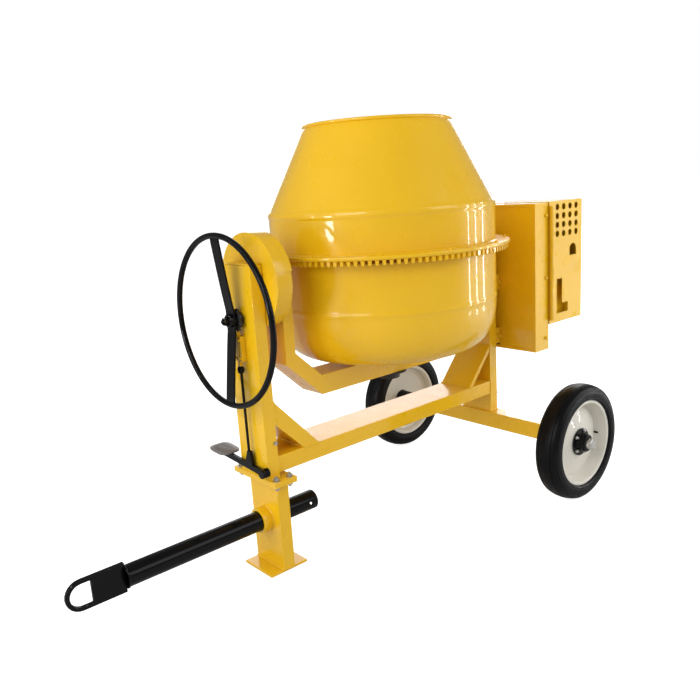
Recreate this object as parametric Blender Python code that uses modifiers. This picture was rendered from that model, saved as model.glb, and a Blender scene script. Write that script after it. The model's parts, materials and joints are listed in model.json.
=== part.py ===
"""Tilting-drum concrete mixer on two wheels: frame, yoke, drum, drive, handwheel, pedal lock and tow bar.

X runs from the tow eye to the motor, Y across the machine, Z up from the floor. Sizes are in metres.
Everything is laid out about the support leg and then moved so that the origin is under the middle.
"""

import math

import bmesh
import bpy
from mathutils import Matrix, Vector

# Clearances
GAP = 0.0003
RUN_GAP = 0.0003
ROUND = 24
BIG_ROUND = 48

# Support leg, foot and the bolted flanges
FOOT_LENGTH = 0.134
FOOT_WIDTH = 0.139
PLATE = 0.008
LEG_DEPTH = 0.040
LEG_WIDTH = 0.140
TUBE_WALL = 0.005
LEG_HEIGHT = 0.2977
FLANGE_WIDTH = 0.216
FLANGE_FRONT = -0.050
FLANGE_BACK = 0.028
BOLT_RADIUS = 0.006
BOLT_HEAD_RADIUS = 0.0105
BOLT_HEAD = 0.008
BOLT_INSET = 0.016

# Front column, main beam and braces
COLUMN_FRONT = -0.045
COLUMN_DEPTH = 0.040
COLUMN_WIDTH = 0.140
COLUMN_ABOVE_AXIS = 0.052
BEAM_RISE = 0.010
BEAM_HEIGHT = 0.050
BEAM_WIDTH = 0.135
FRONT_BRACE_RUN = 0.155
FRONT_BRACE_RISE = 0.166
FRONT_BRACE_FOOT = 0.058
FRONT_BRACE_HEAD = 0.069
REAR_BRACE_RUN = 0.126
REAR_BRACE_RISE = 0.140
REAR_BRACE_FOOT = 0.023
REAR_BRACE_HEAD = 0.024

# Tilt axis, yoke and trunnions
TILT_Z = 0.876
ARM_DEPTH = 0.036
YOKE_WIDTH = 0.100
ARM_ABOVE_AXIS = 0.045
RING_TO_ARM = 0.016
CROSS_HEIGHT = 0.061
BEND_RUN = 0.092
BEND_RISE = 0.086
ARM_TO_POST = 0.004
FRONT_TRUNNION_RADIUS = 0.020
REAR_TRUNNION_RADIUS = 0.030
TRUNNION_FLANGE_RADIUS = 0.040
TRUNNION_FLANGE = 0.0142
FRONT_BEARING_RADIUS = 0.035
REAR_BEARING_RADIUS = 0.045
REAR_COLUMN_ABOVE_AXIS = 0.055

# Drum
DRUM_RADIUS = 0.3644
DRUM_WALL = 0.004
MOUTH_RADIUS = 0.2347
MOUTH_BEAD = 0.006
MOUTH_Z = TILT_Z + 0.437
SHOULDER_Z = TILT_Z + 0.171
BELLY_Z = TILT_Z - 0.121
BOWL_DEPTH = 0.177
RING_WIDTH = 0.0446
RING_TEETH = 126
RING_TOOTH_HEIGHT = 0.0145
RING_TOOTH_INSET = 0.005
RING_FLANGE = 0.012
BLADE_WIDTH = 0.090
BLADE_THICKNESS = 0.006
BLADE_HEIGHT = 0.260
SPINDLE_RADIUS = 0.025
SPINDLE_FLANGE_RADIUS = 0.090
SPINDLE_FLANGE = 0.0114
HOUSING_RADIUS = 0.045
HOUSING_FLANGE_RADIUS = 0.060
HOUSING_FLANGE = 0.0062
SPINDLE_NUT_RADIUS = 0.036
SPINDLE_NUT = 0.020

# Drive: pinion under the crown teeth, belt pulleys, motor
PINION_TEETH = 9
PINION_LENGTH = 0.024
DRIVE_SHAFT_RADIUS = 0.015
DRIVE_SHAFT_STUB = 0.006
DRIVEN_PULLEY_RADIUS = 0.115
MOTOR_PULLEY_RADIUS = 0.0275
PULLEY_WIDTH = 0.024
GROOVE_DEPTH = 0.011
GROOVE_WIDTH = 0.012
BELT_PROUD = 0.001
MOTOR_DROP = 0.206
MOTOR_RADIUS = 0.078
MOTOR_LENGTH = 0.178
MOTOR_SHAFT_RADIUS = 0.012
MOTOR_SHAFT_DEPTH = 0.058

# Belt case and motor hood
CASE_STANDOFF = 0.041
CASE_DEPTH = 0.077
CASE_WIDTH = 0.430
CASE_BOTTOM = TILT_Z - 0.396
CASE_TOP = TILT_Z + 0.144
SHEET = 0.002
MOTOR_PLATE = 0.006
HOOD_DEPTH = 0.2154
HOOD_WIDTH = 0.437
HOOD_BOTTOM = TILT_Z - 0.303
VENT_RADIUS = 0.0115
VENT_ROWS = 4
VENT_PITCH_X = 0.0415
VENT_PITCH_Z = 0.0325
ARCH_HALF = 0.022
SLOT_WIDTH = 0.075
SLOT_HEIGHT = 0.130
SLOT_ARM = 0.036
HINGE_RADIUS = 0.008
HINGE_REACH = 0.0085

# Tilting gear, guard and handwheel
SHAFT_DROP = 0.100
TILT_GEAR_TEETH = 75
TILT_PINION_TEETH = 15
TILT_GEAR_START = 0.011
TILT_GEAR_LENGTH = 0.028
TOOTH_CLEARANCE = 0.0003
GUARD_RADIUS = 0.136
GUARD_DEPTH = 0.0524
HOOD_LIP_RISE = 0.030
HANDWHEEL_RADIUS = 0.2475
HANDWHEEL_BAR = 0.0085
HANDWHEEL_DISH = 0.0265
HANDWHEEL_PLANE = -0.0755
SPOKE_WIDTH = 0.040
SPOKE_THICKNESS = 0.006
HUB_RADIUS = 0.0195
HUB_HALF_LENGTH = 0.0105
HAND_SHAFT_RADIUS = 0.010
SLEEVE_RADIUS = 0.018
SLEEVE_PROUD = 0.010
LOCK_DISC_RADIUS = 0.034
LOCK_DISC = 0.008
LOCK_NOTCHES = 8
LOCK_NOTCH_DEPTH = 0.006

# Pedal and lock rod
PEDAL_STANDOFF = 0.014
PEDAL_Y = -0.069
PEDAL_Z = 0.331
PEDAL_SLOPE = math.radians(4.0)
PEDAL_ARM_LENGTH = 0.235
PEDAL_ARM_HEIGHT = 0.018
PEDAL_ARM_THICKNESS = 0.010
PEDAL_PIN_RADIUS = 0.007
PEDAL_LUG_AT = 0.069
PEDAL_LUG_RISE = 0.050
PAD_LENGTH = 0.090
PAD_WIDTH = 0.070
PAD_THICKNESS = 0.005
ROD_RADIUS = 0.004
KNOB_RADIUS = 0.010
KNOB_LENGTH = 0.022
PAWL_HALF_WIDTH = 0.005
PAWL_DEPTH = 0.010
PAWL_CLEARANCE = 0.0015
GUIDE_HALF_WIDTH = 0.016
GUIDE_BOTTOM = TILT_Z - 0.221
GUIDE_TOP = TILT_Z - 0.148

# Tow bar
TOW_Z = 0.157
TOW_RADIUS = 0.030
TOW_WALL = 0.004
TOW_FRONT = -0.475
TOW_BACK = 0.158
TOW_SLEEVE_RADIUS = TOW_RADIUS + 0.0085
TOW_SLEEVE_PROUD = 0.032
HITCH_LENGTH = 0.160
HITCH_HALF_HEIGHT = 0.043
HITCH_THICKNESS = 0.012
PIN_HOLE_RADIUS = 0.007
PIN_HOLE_INSET = 0.030
EYE_LENGTH = 0.057
EYE_RIM = 0.012

# Axle and wheels
WHEEL_RADIUS = 0.203
TYRE_WIDTH = 0.090
TRACK = 0.846
RIM_RADIUS = 0.144
RIM_FLANGE = 0.006
RIM_LIP = 0.003
HUB_TUBE_RADIUS = 0.034
AXLE_SIZE = 0.060
AXLE_WALL = 0.004
AXLE_HALF_LENGTH = 0.345
AXLE_OFFSET = 0.012
STUB_RADIUS = 0.0125
STUB_BLOCK = 0.050
STUB_CAP_RADIUS = 0.019
STUB_CAP = 0.016

# Places that follow from the sizes above
COLUMN_BACK = COLUMN_FRONT + COLUMN_DEPTH
COLUMN_BOTTOM = LEG_HEIGHT + PLATE + 2 * GAP
BEAM_BOTTOM = COLUMN_BOTTOM + BEAM_RISE
BEAM_TOP = BEAM_BOTTOM + BEAM_HEIGHT
GUARD_BACK = COLUMN_BACK + GUARD_DEPTH
YOKE_FRONT = GUARD_BACK + TRUNNION_FLANGE + 2 * GAP + 0.004
RING_RADIUS = DRUM_RADIUS + RING_WIDTH
YOKE_SPAN = RING_RADIUS + RING_TO_ARM
DRUM_X = YOKE_FRONT + ARM_DEPTH + YOKE_SPAN
YOKE_BACK = DRUM_X + YOKE_SPAN + ARM_DEPTH
POST_FRONT = YOKE_BACK + ARM_TO_POST
POST_BACK = POST_FRONT + COLUMN_DEPTH
AXLE_X = POST_FRONT + COLUMN_DEPTH / 2
AXLE_Z = WHEEL_RADIUS + AXLE_OFFSET
POST_BOTTOM = AXLE_Z + AXLE_SIZE / 2 + GAP
BOWL_BOTTOM = BELLY_Z - BOWL_DEPTH
CROSS_TOP = BOWL_BOTTOM - SPINDLE_FLANGE - 2 * GAP
CROSS_BOTTOM = CROSS_TOP - CROSS_HEIGHT
RING_PITCH = DRUM_RADIUS + RING_WIDTH / 2
PINION_PITCH = RING_PITCH * PINION_TEETH / RING_TEETH
RING_TIP_Z = TILT_Z + PINION_PITCH + TOOTH_CLEARANCE
RING_TOP = RING_TIP_Z + RING_TOOTH_HEIGHT + RING_FLANGE
SEAM_Z = RING_TOP - 0.006
CASE_FRONT = POST_BACK + CASE_STANDOFF
CASE_BACK = CASE_FRONT + CASE_DEPTH
PLATE_BACK = CASE_BACK + GAP + MOTOR_PLATE
HOOD_FRONT = PLATE_BACK + GAP
HOOD_BACK = HOOD_FRONT + HOOD_DEPTH
PULLEY_X = CASE_FRONT + 0.038
SHAFT_Z = TILT_Z - SHAFT_DROP
MOTOR_Z = TILT_Z - MOTOR_DROP
TILT_MODULE = 2 * SHAFT_DROP / (TILT_GEAR_TEETH + TILT_PINION_TEETH)
LOCK_DISC_FRONT = COLUMN_FRONT - SLEEVE_PROUD - GAP - 0.0012 - LOCK_DISC
EYE_FRONT = TOW_FRONT - HITCH_LENGTH
MIDDLE_X = (EYE_FRONT + HOOD_BACK) / 2

YELLOW = ("yellow_paint", (0.80, 0.42, 0.03), 0.30, 0.0)
BLACK = ("black_paint", (0.012, 0.012, 0.014), 0.35, 0.0)
CREAM = ("cream_paint", (0.78, 0.74, 0.62), 0.40, 0.0)
RUBBER = ("tyre_rubber", (0.012, 0.013, 0.015), 0.60, 0.0)
BELT = ("belt_rubber", (0.015, 0.015, 0.015), 0.70, 0.0)
GREY = ("grey_paint", (0.30, 0.29, 0.30), 0.50, 0.0)
STEEL = ("bright_steel", (0.60, 0.60, 0.60), 0.30, 1.0)
CAST = ("cast_iron", (0.10, 0.10, 0.10), 0.60, 0.6)

ALONG_X = Matrix.Rotation(math.pi / 2, 4, "Z") @ Matrix.Rotation(math.pi / 2, 4, "X")
ALONG_Y = Matrix.Rotation(math.pi / 2, 4, "X")
ALONG_Z = Matrix()

materials = {}
bodies = {}
collections = {}


def clear_scene():
    """Remove the objects of the open scene."""
    for obj in list(bpy.data.objects):
        bpy.data.objects.remove(obj, do_unlink=True)


def make_collections():
    """Make the collection for the mixer's parts and the one for its cutters."""
    for key, name in (("parts", "concrete_mixer"), ("cutters", "concrete_mixer_cutters")):
        collection = bpy.data.collections.new(name)
        bpy.context.scene.collection.children.link(collection)
        collections[key] = collection


def material(finish):
    """The Principled material of a finish given as name, colour, roughness and metallic."""
    name, colour, roughness, metallic = finish
    if name not in materials:
        made = bpy.data.materials.new(name)
        made.use_nodes = True
        shader = made.node_tree.nodes["Principled BSDF"]
        shader.inputs["Base Color"].default_value = (*colour, 1.0)
        shader.inputs["Roughness"].default_value = roughness
        shader.inputs["Metallic"].default_value = metallic
        materials[name] = made
    return materials[name]


def make_body(name, parent, place):
    """An empty on a moving body's joint axis. Parts of that body hang on it."""
    empty = bpy.data.objects.new(name, None)
    collections["parts"].objects.link(empty)
    spot = Vector(place)
    if parent:
        empty.parent = bodies[parent][0]
        empty.location = spot - bodies[parent][1]
    else:
        empty.location = spot - Vector((MIDDLE_X, 0, 0))
    bodies[name] = (empty, spot)


def add_object(name, mesh, body, place, finish=None, cutter=False):
    """Put a mesh into the scene at a place in the machine's layout, hung on its body."""
    obj = bpy.data.objects.new(name, mesh)
    empty, spot = bodies[body]
    obj.parent = empty
    obj.matrix_local = Matrix.Translation(-spot) @ place
    if cutter:
        collections["cutters"].objects.link(obj)
        obj.hide_render = True
        obj.display_type = "WIRE"
    else:
        collections["parts"].objects.link(obj)
        mesh.materials.append(material(finish))
    return obj


def mesh_from(build):
    """A mesh filled by a function that is given an empty bmesh."""
    work = bmesh.new()
    build(work)
    bmesh.ops.recalc_face_normals(work, faces=work.faces)
    mesh = bpy.data.meshes.new("mesh")
    work.to_mesh(mesh)
    work.free()
    return mesh


def box_mesh(low, high):
    """A box between two corners, centred on its own origin, and where that origin goes."""
    size = Vector(high) - Vector(low)
    centre = (Vector(high) + Vector(low)) / 2
    mesh = mesh_from(lambda work: bmesh.ops.create_cube(work, size=1.0, matrix=Matrix.Diagonal((*size, 1.0))))
    return mesh, Matrix.Translation(centre)


def box(name, body, low, high, finish):
    """A box between two corners."""
    mesh, place = box_mesh(low, high)
    return add_object(name, mesh, body, place, finish)


def cylinder_mesh(radius, length, sides):
    """A closed cylinder along Z, centred on its own origin."""
    def build(work):
        bmesh.ops.create_cone(work, cap_ends=True, segments=sides, depth=length,
                              radius1=radius, radius2=radius)
    return mesh_from(build)


def cut(target, cutter):
    """Take a cutter's shape out of a part."""
    boolean = target.modifiers.new("cut_" + cutter.name, "BOOLEAN")
    boolean.operation = "DIFFERENCE"
    boolean.object = cutter
    boolean.solver = "EXACT"


def join(target, piece):
    """Weld a piece, kept among the cutters, to a part."""
    boolean = target.modifiers.new("join_" + piece.name, "BOOLEAN")
    boolean.operation = "UNION"
    boolean.object = piece
    boolean.solver = "EXACT"


def cut_box(target, body, low, high):
    """Cut a box-shaped space out of a part."""
    mesh, place = box_mesh(low, high)
    cut(target, add_object(target.name + "_space", mesh, body, place, cutter=True))


def cut_round(target, body, radius, centre, length, direction, sides=ROUND):
    """Drill a round hole of a length through a centre."""
    mesh = cylinder_mesh(radius, length, sides)
    place = Matrix.Translation(centre) @ direction
    cut(target, add_object(target.name + "_hole", mesh, body, place, cutter=True))


def shade_round(obj):
    """Shade a round part smooth, with its real edges sharp."""
    obj.data.shade_smooth()
    obj.data.set_sharp_from_angle(angle=math.radians(35))


def turned(name, body, profile, centre, direction, finish, closed=True, sides=ROUND):
    """A turned part: its profile of radius and height, run down the outside, spun about the local Z axis."""
    def build(work):
        corners = [work.verts.new((radius, 0, height)) for radius, height in profile]
        for first, second in zip(corners, corners[1:]):
            work.edges.new((first, second))
        if closed:
            work.edges.new((corners[-1], corners[0]))
    obj = add_object(name, mesh_from(build), body, Matrix.Translation(centre) @ direction, finish)
    screw = obj.modifiers.new("turned", "SCREW")
    screw.axis = "Z"
    screw.steps = sides
    screw.render_steps = sides
    screw.use_merge_vertices = True
    screw.merge_threshold = 0.00005
    screw.use_smooth_shade = True
    return obj


def rod(name, body, radius, start, end, finish, sides=ROUND):
    """A plain round bar between two points."""
    start, end = Vector(start), Vector(end)
    turn = (end - start).to_track_quat("Z", "Y").to_matrix().to_4x4()
    mesh = cylinder_mesh(radius, (end - start).length, sides)
    obj = add_object(name, mesh, body, Matrix.Translation((start + end) / 2) @ turn, finish)
    shade_round(obj)
    return obj


def outline_mesh(outlines, thickness):
    """A flat plate in the local XY plane, from its outline and the outlines of its holes."""
    curve = bpy.data.curves.new("outline", "CURVE")
    curve.dimensions = "2D"
    curve.fill_mode = "BOTH"
    curve.extrude = thickness / 2
    for outline in outlines:
        spline = curve.splines.new("POLY")
        spline.points.add(len(outline) - 1)
        spline.use_cyclic_u = True
        for point, (x, y) in zip(spline.points, outline):
            point.co = (x, y, 0, 1)
    holder = bpy.data.objects.new("outline", curve)
    bpy.context.scene.collection.objects.link(holder)
    graph = bpy.context.evaluated_depsgraph_get()
    mesh = bpy.data.meshes.new_from_object(holder.evaluated_get(graph))
    bpy.data.objects.remove(holder)
    work = bmesh.new()
    work.from_mesh(mesh)
    bmesh.ops.remove_doubles(work, verts=work.verts, dist=0.00001)
    bmesh.ops.recalc_face_normals(work, faces=work.faces)
    work.to_mesh(mesh)
    work.free()
    return mesh


def plate(name, body, outlines, thickness, centre, direction, finish):
    """A plate part of an outline, with its middle plane through a centre."""
    place = Matrix.Translation(centre) @ direction
    return add_object(name, outline_mesh(outlines, thickness), body, place, finish)


def plate_cutter(name, body, outline, thickness, centre, direction):
    """A plate-shaped cutter or a piece to be welded on."""
    place = Matrix.Translation(centre) @ direction
    return add_object(name, outline_mesh([outline], thickness), body, place, cutter=True)


def circle(radius, sides=ROUND, x=0.0, y=0.0):
    """The corners of a round outline."""
    step = 2 * math.pi / sides
    return [(x + radius * math.cos(step * i), y + radius * math.sin(step * i)) for i in range(sides)]


def bore(radius, sides=ROUND):
    """The corner radius of a round hole that a shaft of a radius turns in."""
    return (radius + RUN_GAP) / math.cos(math.pi / sides)


def gear_outline(teeth, tip, root, tooth_share, start=0.0):
    """The outline of a gear or notched disc, as one tapered tooth repeated round it."""
    points = []
    pitch = 2 * math.pi / teeth
    half_root = pitch * tooth_share / 2
    half_tip = half_root * 0.6
    for tooth in range(teeth):
        middle = start + tooth * pitch
        for radius, offset in ((root, -half_root), (tip, -half_tip), (tip, half_tip), (root, half_root)):
            points.append((radius * math.cos(middle + offset), radius * math.sin(middle + offset)))
    return points


def box_tube(name, body, low, high, axis, wall, finish):
    """A box-section tube between two corners, open at its two ends along an axis (0, 1 or 2)."""
    obj = box(name, body, low, high, finish)
    inner_low = [value + wall for value in low]
    inner_high = [value - wall for value in high]
    inner_low[axis] = low[axis] - wall
    inner_high[axis] = high[axis] + wall
    cut_box(obj, body, inner_low, inner_high)
    return obj


def make_bodies():
    """The chassis and every moving body, each on its joint's axis."""
    make_body("chassis", None, (0, 0, 0))
    make_body("yoke", "chassis", (DRUM_X, 0, TILT_Z))
    make_body("drum", "yoke", (DRUM_X, 0, TILT_Z))
    make_body("drive", "yoke", (POST_FRONT, 0, TILT_Z))
    make_body("rotor", "chassis", (PULLEY_X, 0, MOTOR_Z))
    make_body("handwheel_body", "chassis", (HANDWHEEL_PLANE, 0, SHAFT_Z))
    make_body("pedal", "chassis", (COLUMN_FRONT - PEDAL_STANDOFF, PEDAL_Y, PEDAL_Z))
    make_body("lock", "chassis", (COLUMN_FRONT - PEDAL_STANDOFF, 0, GUIDE_BOTTOM))
    make_body("tow", "chassis", (0, 0, TOW_Z))
    make_body("near_wheel", "chassis", (AXLE_X, -TRACK / 2, WHEEL_RADIUS))
    make_body("far_wheel", "chassis", (AXLE_X, TRACK / 2, WHEEL_RADIUS))
    make_body("hood", "chassis", (HOOD_FRONT + 0.004, -HOOD_WIDTH / 2 - HINGE_REACH, HOOD_BOTTOM))


def make_leg():
    """The support leg with its foot, its head flange and the sleeve for the tow bar."""
    half_foot = FOOT_LENGTH / 2
    box("foot_plate", "chassis", (-half_foot, -FOOT_WIDTH / 2, 0), (half_foot, FOOT_WIDTH / 2, PLATE), YELLOW)
    low = (-LEG_DEPTH / 2, -LEG_WIDTH / 2, PLATE + GAP)
    high = (LEG_DEPTH / 2, LEG_WIDTH / 2, LEG_HEIGHT - PLATE - GAP)
    leg = box_tube("support_leg", "chassis", low, high, 2, TUBE_WALL, YELLOW)
    sleeve_hole = TOW_SLEEVE_RADIUS + GAP
    cut_round(leg, "chassis", sleeve_hole, (0, 0, TOW_Z), 2 * LEG_DEPTH, ALONG_X)
    front = -LEG_DEPTH / 2 - TOW_SLEEVE_PROUD
    back = LEG_DEPTH / 2
    inner = bore(TOW_RADIUS)
    profile = [(TOW_SLEEVE_RADIUS, back), (TOW_SLEEVE_RADIUS, front), (inner, front), (inner, back)]
    turned("tow_sleeve", "chassis", profile, (0, 0, TOW_Z), ALONG_X, YELLOW)


def make_flanges():
    """The two plates that bolt the leg under the front column, and their four bolts."""
    half = FLANGE_WIDTH / 2
    bolt_places = []
    for x in (FLANGE_FRONT + BOLT_INSET, FLANGE_BACK - BOLT_INSET):
        for y in (-half + BOLT_INSET, half - BOLT_INSET):
            bolt_places.append((x, y))
    for name, bottom in (("leg_flange", LEG_HEIGHT - PLATE), ("column_flange", LEG_HEIGHT + GAP)):
        low = (FLANGE_FRONT, -half, bottom)
        high = (FLANGE_BACK, half, bottom + PLATE)
        flange = box(name, "chassis", low, high, YELLOW)
        for x, y in bolt_places:
            cut_round(flange, "chassis", bore(BOLT_RADIUS, 12), (x, y, bottom), 4 * PLATE, ALONG_Z, 12)
    top = LEG_HEIGHT + GAP + PLATE + GAP
    bottom = LEG_HEIGHT - PLATE - GAP
    profile = [
        (0, top + BOLT_HEAD), (BOLT_HEAD_RADIUS, top + BOLT_HEAD), (BOLT_HEAD_RADIUS, top),
        (BOLT_RADIUS, top), (BOLT_RADIUS, bottom), (BOLT_HEAD_RADIUS, bottom),
        (BOLT_HEAD_RADIUS, bottom - BOLT_HEAD), (0, bottom - BOLT_HEAD),
    ]
    for number, (x, y) in enumerate(bolt_places, 1):
        turned(f"flange_bolt_{number}", "chassis", profile, (x, y, 0), ALONG_Z, STEEL, closed=False, sides=12)


def make_front_column():
    """The box column that carries the front trunnion bearing and the handwheel shaft."""
    half = COLUMN_WIDTH / 2
    low = (COLUMN_FRONT, -half, COLUMN_BOTTOM)
    high = (COLUMN_BACK, half, TILT_Z + COLUMN_ABOVE_AXIS)
    column = box_tube("front_column", "chassis", low, high, 2, TUBE_WALL, YELLOW)
    middle = (COLUMN_FRONT + COLUMN_BACK) / 2
    cut_round(column, "chassis", SLEEVE_RADIUS + GAP, (middle, 0, SHAFT_Z), 2 * COLUMN_DEPTH, ALONG_X)
    shaft_hole = bore(FRONT_TRUNNION_RADIUS)
    cut_round(column, "chassis", shaft_hole, (COLUMN_BACK, 0, TILT_Z), COLUMN_DEPTH, ALONG_X)
    half_bearing = COLUMN_DEPTH / 2 - TUBE_WALL - GAP
    inner = bore(FRONT_TRUNNION_RADIUS)
    outer = FRONT_BEARING_RADIUS
    profile = [(outer, half_bearing), (outer, -half_bearing), (inner, -half_bearing), (inner, half_bearing)]
    turned("front_trunnion_bearing", "chassis", profile, (middle, 0, TILT_Z), ALONG_X, CAST)
    front = COLUMN_FRONT - SLEEVE_PROUD
    inner = bore(HAND_SHAFT_RADIUS)
    profile = [(SLEEVE_RADIUS, COLUMN_BACK), (SLEEVE_RADIUS, front), (inner, front), (inner, COLUMN_BACK)]
    turned("handwheel_sleeve", "chassis", profile, (0, 0, SHAFT_Z), ALONG_X, CAST)


def make_beam():
    """The main beam between the columns and its two diagonal braces."""
    half = BEAM_WIDTH / 2
    start = COLUMN_BACK + GAP
    end = POST_FRONT - GAP
    box_tube("main_beam", "chassis", (start, -half, BEAM_BOTTOM), (end, half, BEAM_TOP), 0, TUBE_WALL, YELLOW)
    foot = BEAM_TOP + GAP
    outer = [
        (start, foot + FRONT_BRACE_RISE), (start, foot + FRONT_BRACE_RISE - FRONT_BRACE_HEAD),
        (start + FRONT_BRACE_RUN - FRONT_BRACE_FOOT, foot), (start + FRONT_BRACE_RUN, foot),
    ]
    brace = plate("front_brace", "chassis", [outer], BEAM_WIDTH, (0, 0, 0), ALONG_Y, YELLOW)
    slope = Vector((FRONT_BRACE_RUN, -FRONT_BRACE_RISE)).normalized()
    inset = TUBE_WALL / slope.x
    overrun = 2 * TUBE_WALL
    top = Vector((start, foot + FRONT_BRACE_RISE - inset)) - slope * overrun
    under = Vector((start, foot + FRONT_BRACE_RISE - FRONT_BRACE_HEAD + inset)) - slope * overrun
    reach = slope * (Vector((FRONT_BRACE_RUN, FRONT_BRACE_RISE)).length + 2 * overrun)
    hollow = [tuple(point) for point in (top, under, under + reach, top + reach)]
    inside = BEAM_WIDTH - 2 * TUBE_WALL
    cut(brace, plate_cutter("front_brace_space", "chassis", hollow, inside, (0, 0, 0), ALONG_Y))
    outer = [
        (end, foot + REAR_BRACE_RISE), (end - REAR_BRACE_RUN, foot),
        (end - REAR_BRACE_RUN + REAR_BRACE_FOOT, foot), (end, foot + REAR_BRACE_RISE - REAR_BRACE_HEAD),
    ]
    plate("rear_brace", "chassis", [outer], BEAM_WIDTH, (0, 0, 0), ALONG_Y, YELLOW)


def make_rear_column():
    """The box column over the axle, with the bearing of the hollow rear trunnion inside it."""
    half = BEAM_WIDTH / 2
    low = (POST_FRONT, -half, POST_BOTTOM)
    high = (POST_BACK, half, TILT_Z + REAR_COLUMN_ABOVE_AXIS)
    column = box_tube("rear_column", "chassis", low, high, 2, TUBE_WALL, YELLOW)
    hole = bore(REAR_TRUNNION_RADIUS)
    cut_round(column, "chassis", hole, (AXLE_X, 0, TILT_Z), 2 * COLUMN_DEPTH, ALONG_X)
    half_bearing = COLUMN_DEPTH / 2 - TUBE_WALL - GAP
    outer = REAR_BEARING_RADIUS
    profile = [(outer, half_bearing), (outer, -half_bearing), (hole, -half_bearing), (hole, half_bearing)]
    turned("rear_trunnion_bearing", "chassis", profile, (AXLE_X, 0, TILT_Z), ALONG_X, CAST)


def make_axle():
    """The square axle tube and the stub axle that is plugged into each end."""
    half = AXLE_SIZE / 2
    low = (AXLE_X - half, -AXLE_HALF_LENGTH, AXLE_Z - half)
    high = (AXLE_X + half, AXLE_HALF_LENGTH, AXLE_Z + half)
    box_tube("axle_beam", "chassis", low, high, 1, AXLE_WALL, YELLOW)
    hub_start = TRACK / 2 - TYRE_WIDTH / 2
    hub_end = TRACK / 2 + TYRE_WIDTH / 2
    collar = hub_start - GAP
    nut = hub_end + GAP
    block_low = AXLE_HALF_LENGTH - STUB_BLOCK
    profile = [
        (0, nut + STUB_CAP), (STUB_CAP_RADIUS, nut + STUB_CAP), (STUB_CAP_RADIUS, nut), (STUB_RADIUS, nut),
        (STUB_RADIUS, collar), (2 * STUB_RADIUS, collar), (2 * STUB_RADIUS, AXLE_HALF_LENGTH + GAP),
        (STUB_RADIUS, AXLE_HALF_LENGTH + GAP), (STUB_RADIUS, block_low + GAP), (0, block_low + GAP),
    ]
    inner = half - AXLE_WALL - GAP
    for name, side in (("near", -1), ("far", 1)):
        direction = Matrix.Rotation(-side * math.pi / 2, 4, "X")
        place = (AXLE_X, 0, WHEEL_RADIUS)
        stub = turned(f"stub_axle_{name}", "chassis", profile, place, direction, STEEL, closed=False)
        ends = sorted((side * block_low, side * AXLE_HALF_LENGTH))
        mesh, centre = box_mesh((AXLE_X - inner, ends[0], AXLE_Z - inner),
                                (AXLE_X + inner, ends[1], AXLE_Z + inner))
        join(stub, add_object(f"stub_block_{name}", mesh, "chassis", centre, cutter=True))


def make_wheel(name, body, side):
    """A tyre on its pressed-steel wheel. Local Z points away from the machine."""
    direction = Matrix.Rotation(-side * math.pi / 2, 4, "X")
    place = (AXLE_X, side * TRACK / 2, WHEEL_RADIUS)
    half = TYRE_WIDTH / 2
    seat = RIM_RADIUS + GAP
    bead = half - 0.012
    lip = RIM_RADIUS + RIM_FLANGE
    clear = lip + GAP
    outer_bead = bead + GAP + RIM_LIP
    tread = [
        (WHEEL_RADIUS, half * 0.45), (WHEEL_RADIUS, -half * 0.45), (WHEEL_RADIUS - 0.005, -half * 0.72),
        (WHEEL_RADIUS - 0.018, -half * 0.95), (WHEEL_RADIUS - 0.036, -half), (clear, -outer_bead),
        (clear, -bead), (seat, -bead), (seat, bead), (clear, bead), (clear, outer_bead),
        (WHEEL_RADIUS - 0.036, half), (WHEEL_RADIUS - 0.018, half * 0.95), (WHEEL_RADIUS - 0.005, half * 0.72),
    ]
    turned(f"tyre_{name}", body, tread, place, direction, RUBBER, sides=36)
    inner = RIM_RADIUS - 0.004
    hole = bore(STUB_RADIUS)
    web = 0.012
    flange_in = bead + GAP
    rim = [
        (lip, flange_in + RIM_LIP), (lip, flange_in), (RIM_RADIUS, flange_in), (RIM_RADIUS, -flange_in),
        (lip, -flange_in), (lip, -flange_in - RIM_LIP), (inner, -flange_in - RIM_LIP), (inner, web - 0.020),
        (HUB_TUBE_RADIUS + 0.020, web - 0.006), (HUB_TUBE_RADIUS, web - 0.006), (HUB_TUBE_RADIUS, -half),
        (hole, -half), (hole, half), (HUB_TUBE_RADIUS, half), (HUB_TUBE_RADIUS, web),
        (HUB_TUBE_RADIUS + 0.022, web), (inner, web - 0.014), (inner, flange_in + RIM_LIP),
    ]
    turned(f"wheel_{name}", body, rim, place, direction, CREAM, sides=36)


def yoke_outline(inset, top):
    """The outline of the U-shaped yoke in X and Z, drawn in by an inset, open arms ending at a top height."""
    slant = math.hypot(BEND_RUN, BEND_RISE)
    shift = inset * (slant - BEND_RISE) / BEND_RUN
    flat = inset * (slant - BEND_RUN) / BEND_RISE
    front, back = YOKE_FRONT, YOKE_BACK
    drop = CROSS_HEIGHT * 0.48
    outer_bend = CROSS_TOP + BEND_RISE - drop
    outer_run = BEND_RUN + ARM_DEPTH * 0.94
    bottom = CROSS_BOTTOM + inset
    left = [
        (front + inset, top), (front + inset, outer_bend + shift),
        (front + outer_run + flat, bottom),
    ]
    inner_left = [
        (front + ARM_DEPTH + BEND_RUN - flat, CROSS_TOP - inset),
        (front + ARM_DEPTH - inset, CROSS_TOP + BEND_RISE - shift),
        (front + ARM_DEPTH - inset, top),
    ]
    middle = front + back
    right = [(middle - x, z) for x, z in reversed(left)]
    inner_right = [(middle - x, z) for x, z in reversed(inner_left)]
    return left + right + inner_right + inner_left


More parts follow.
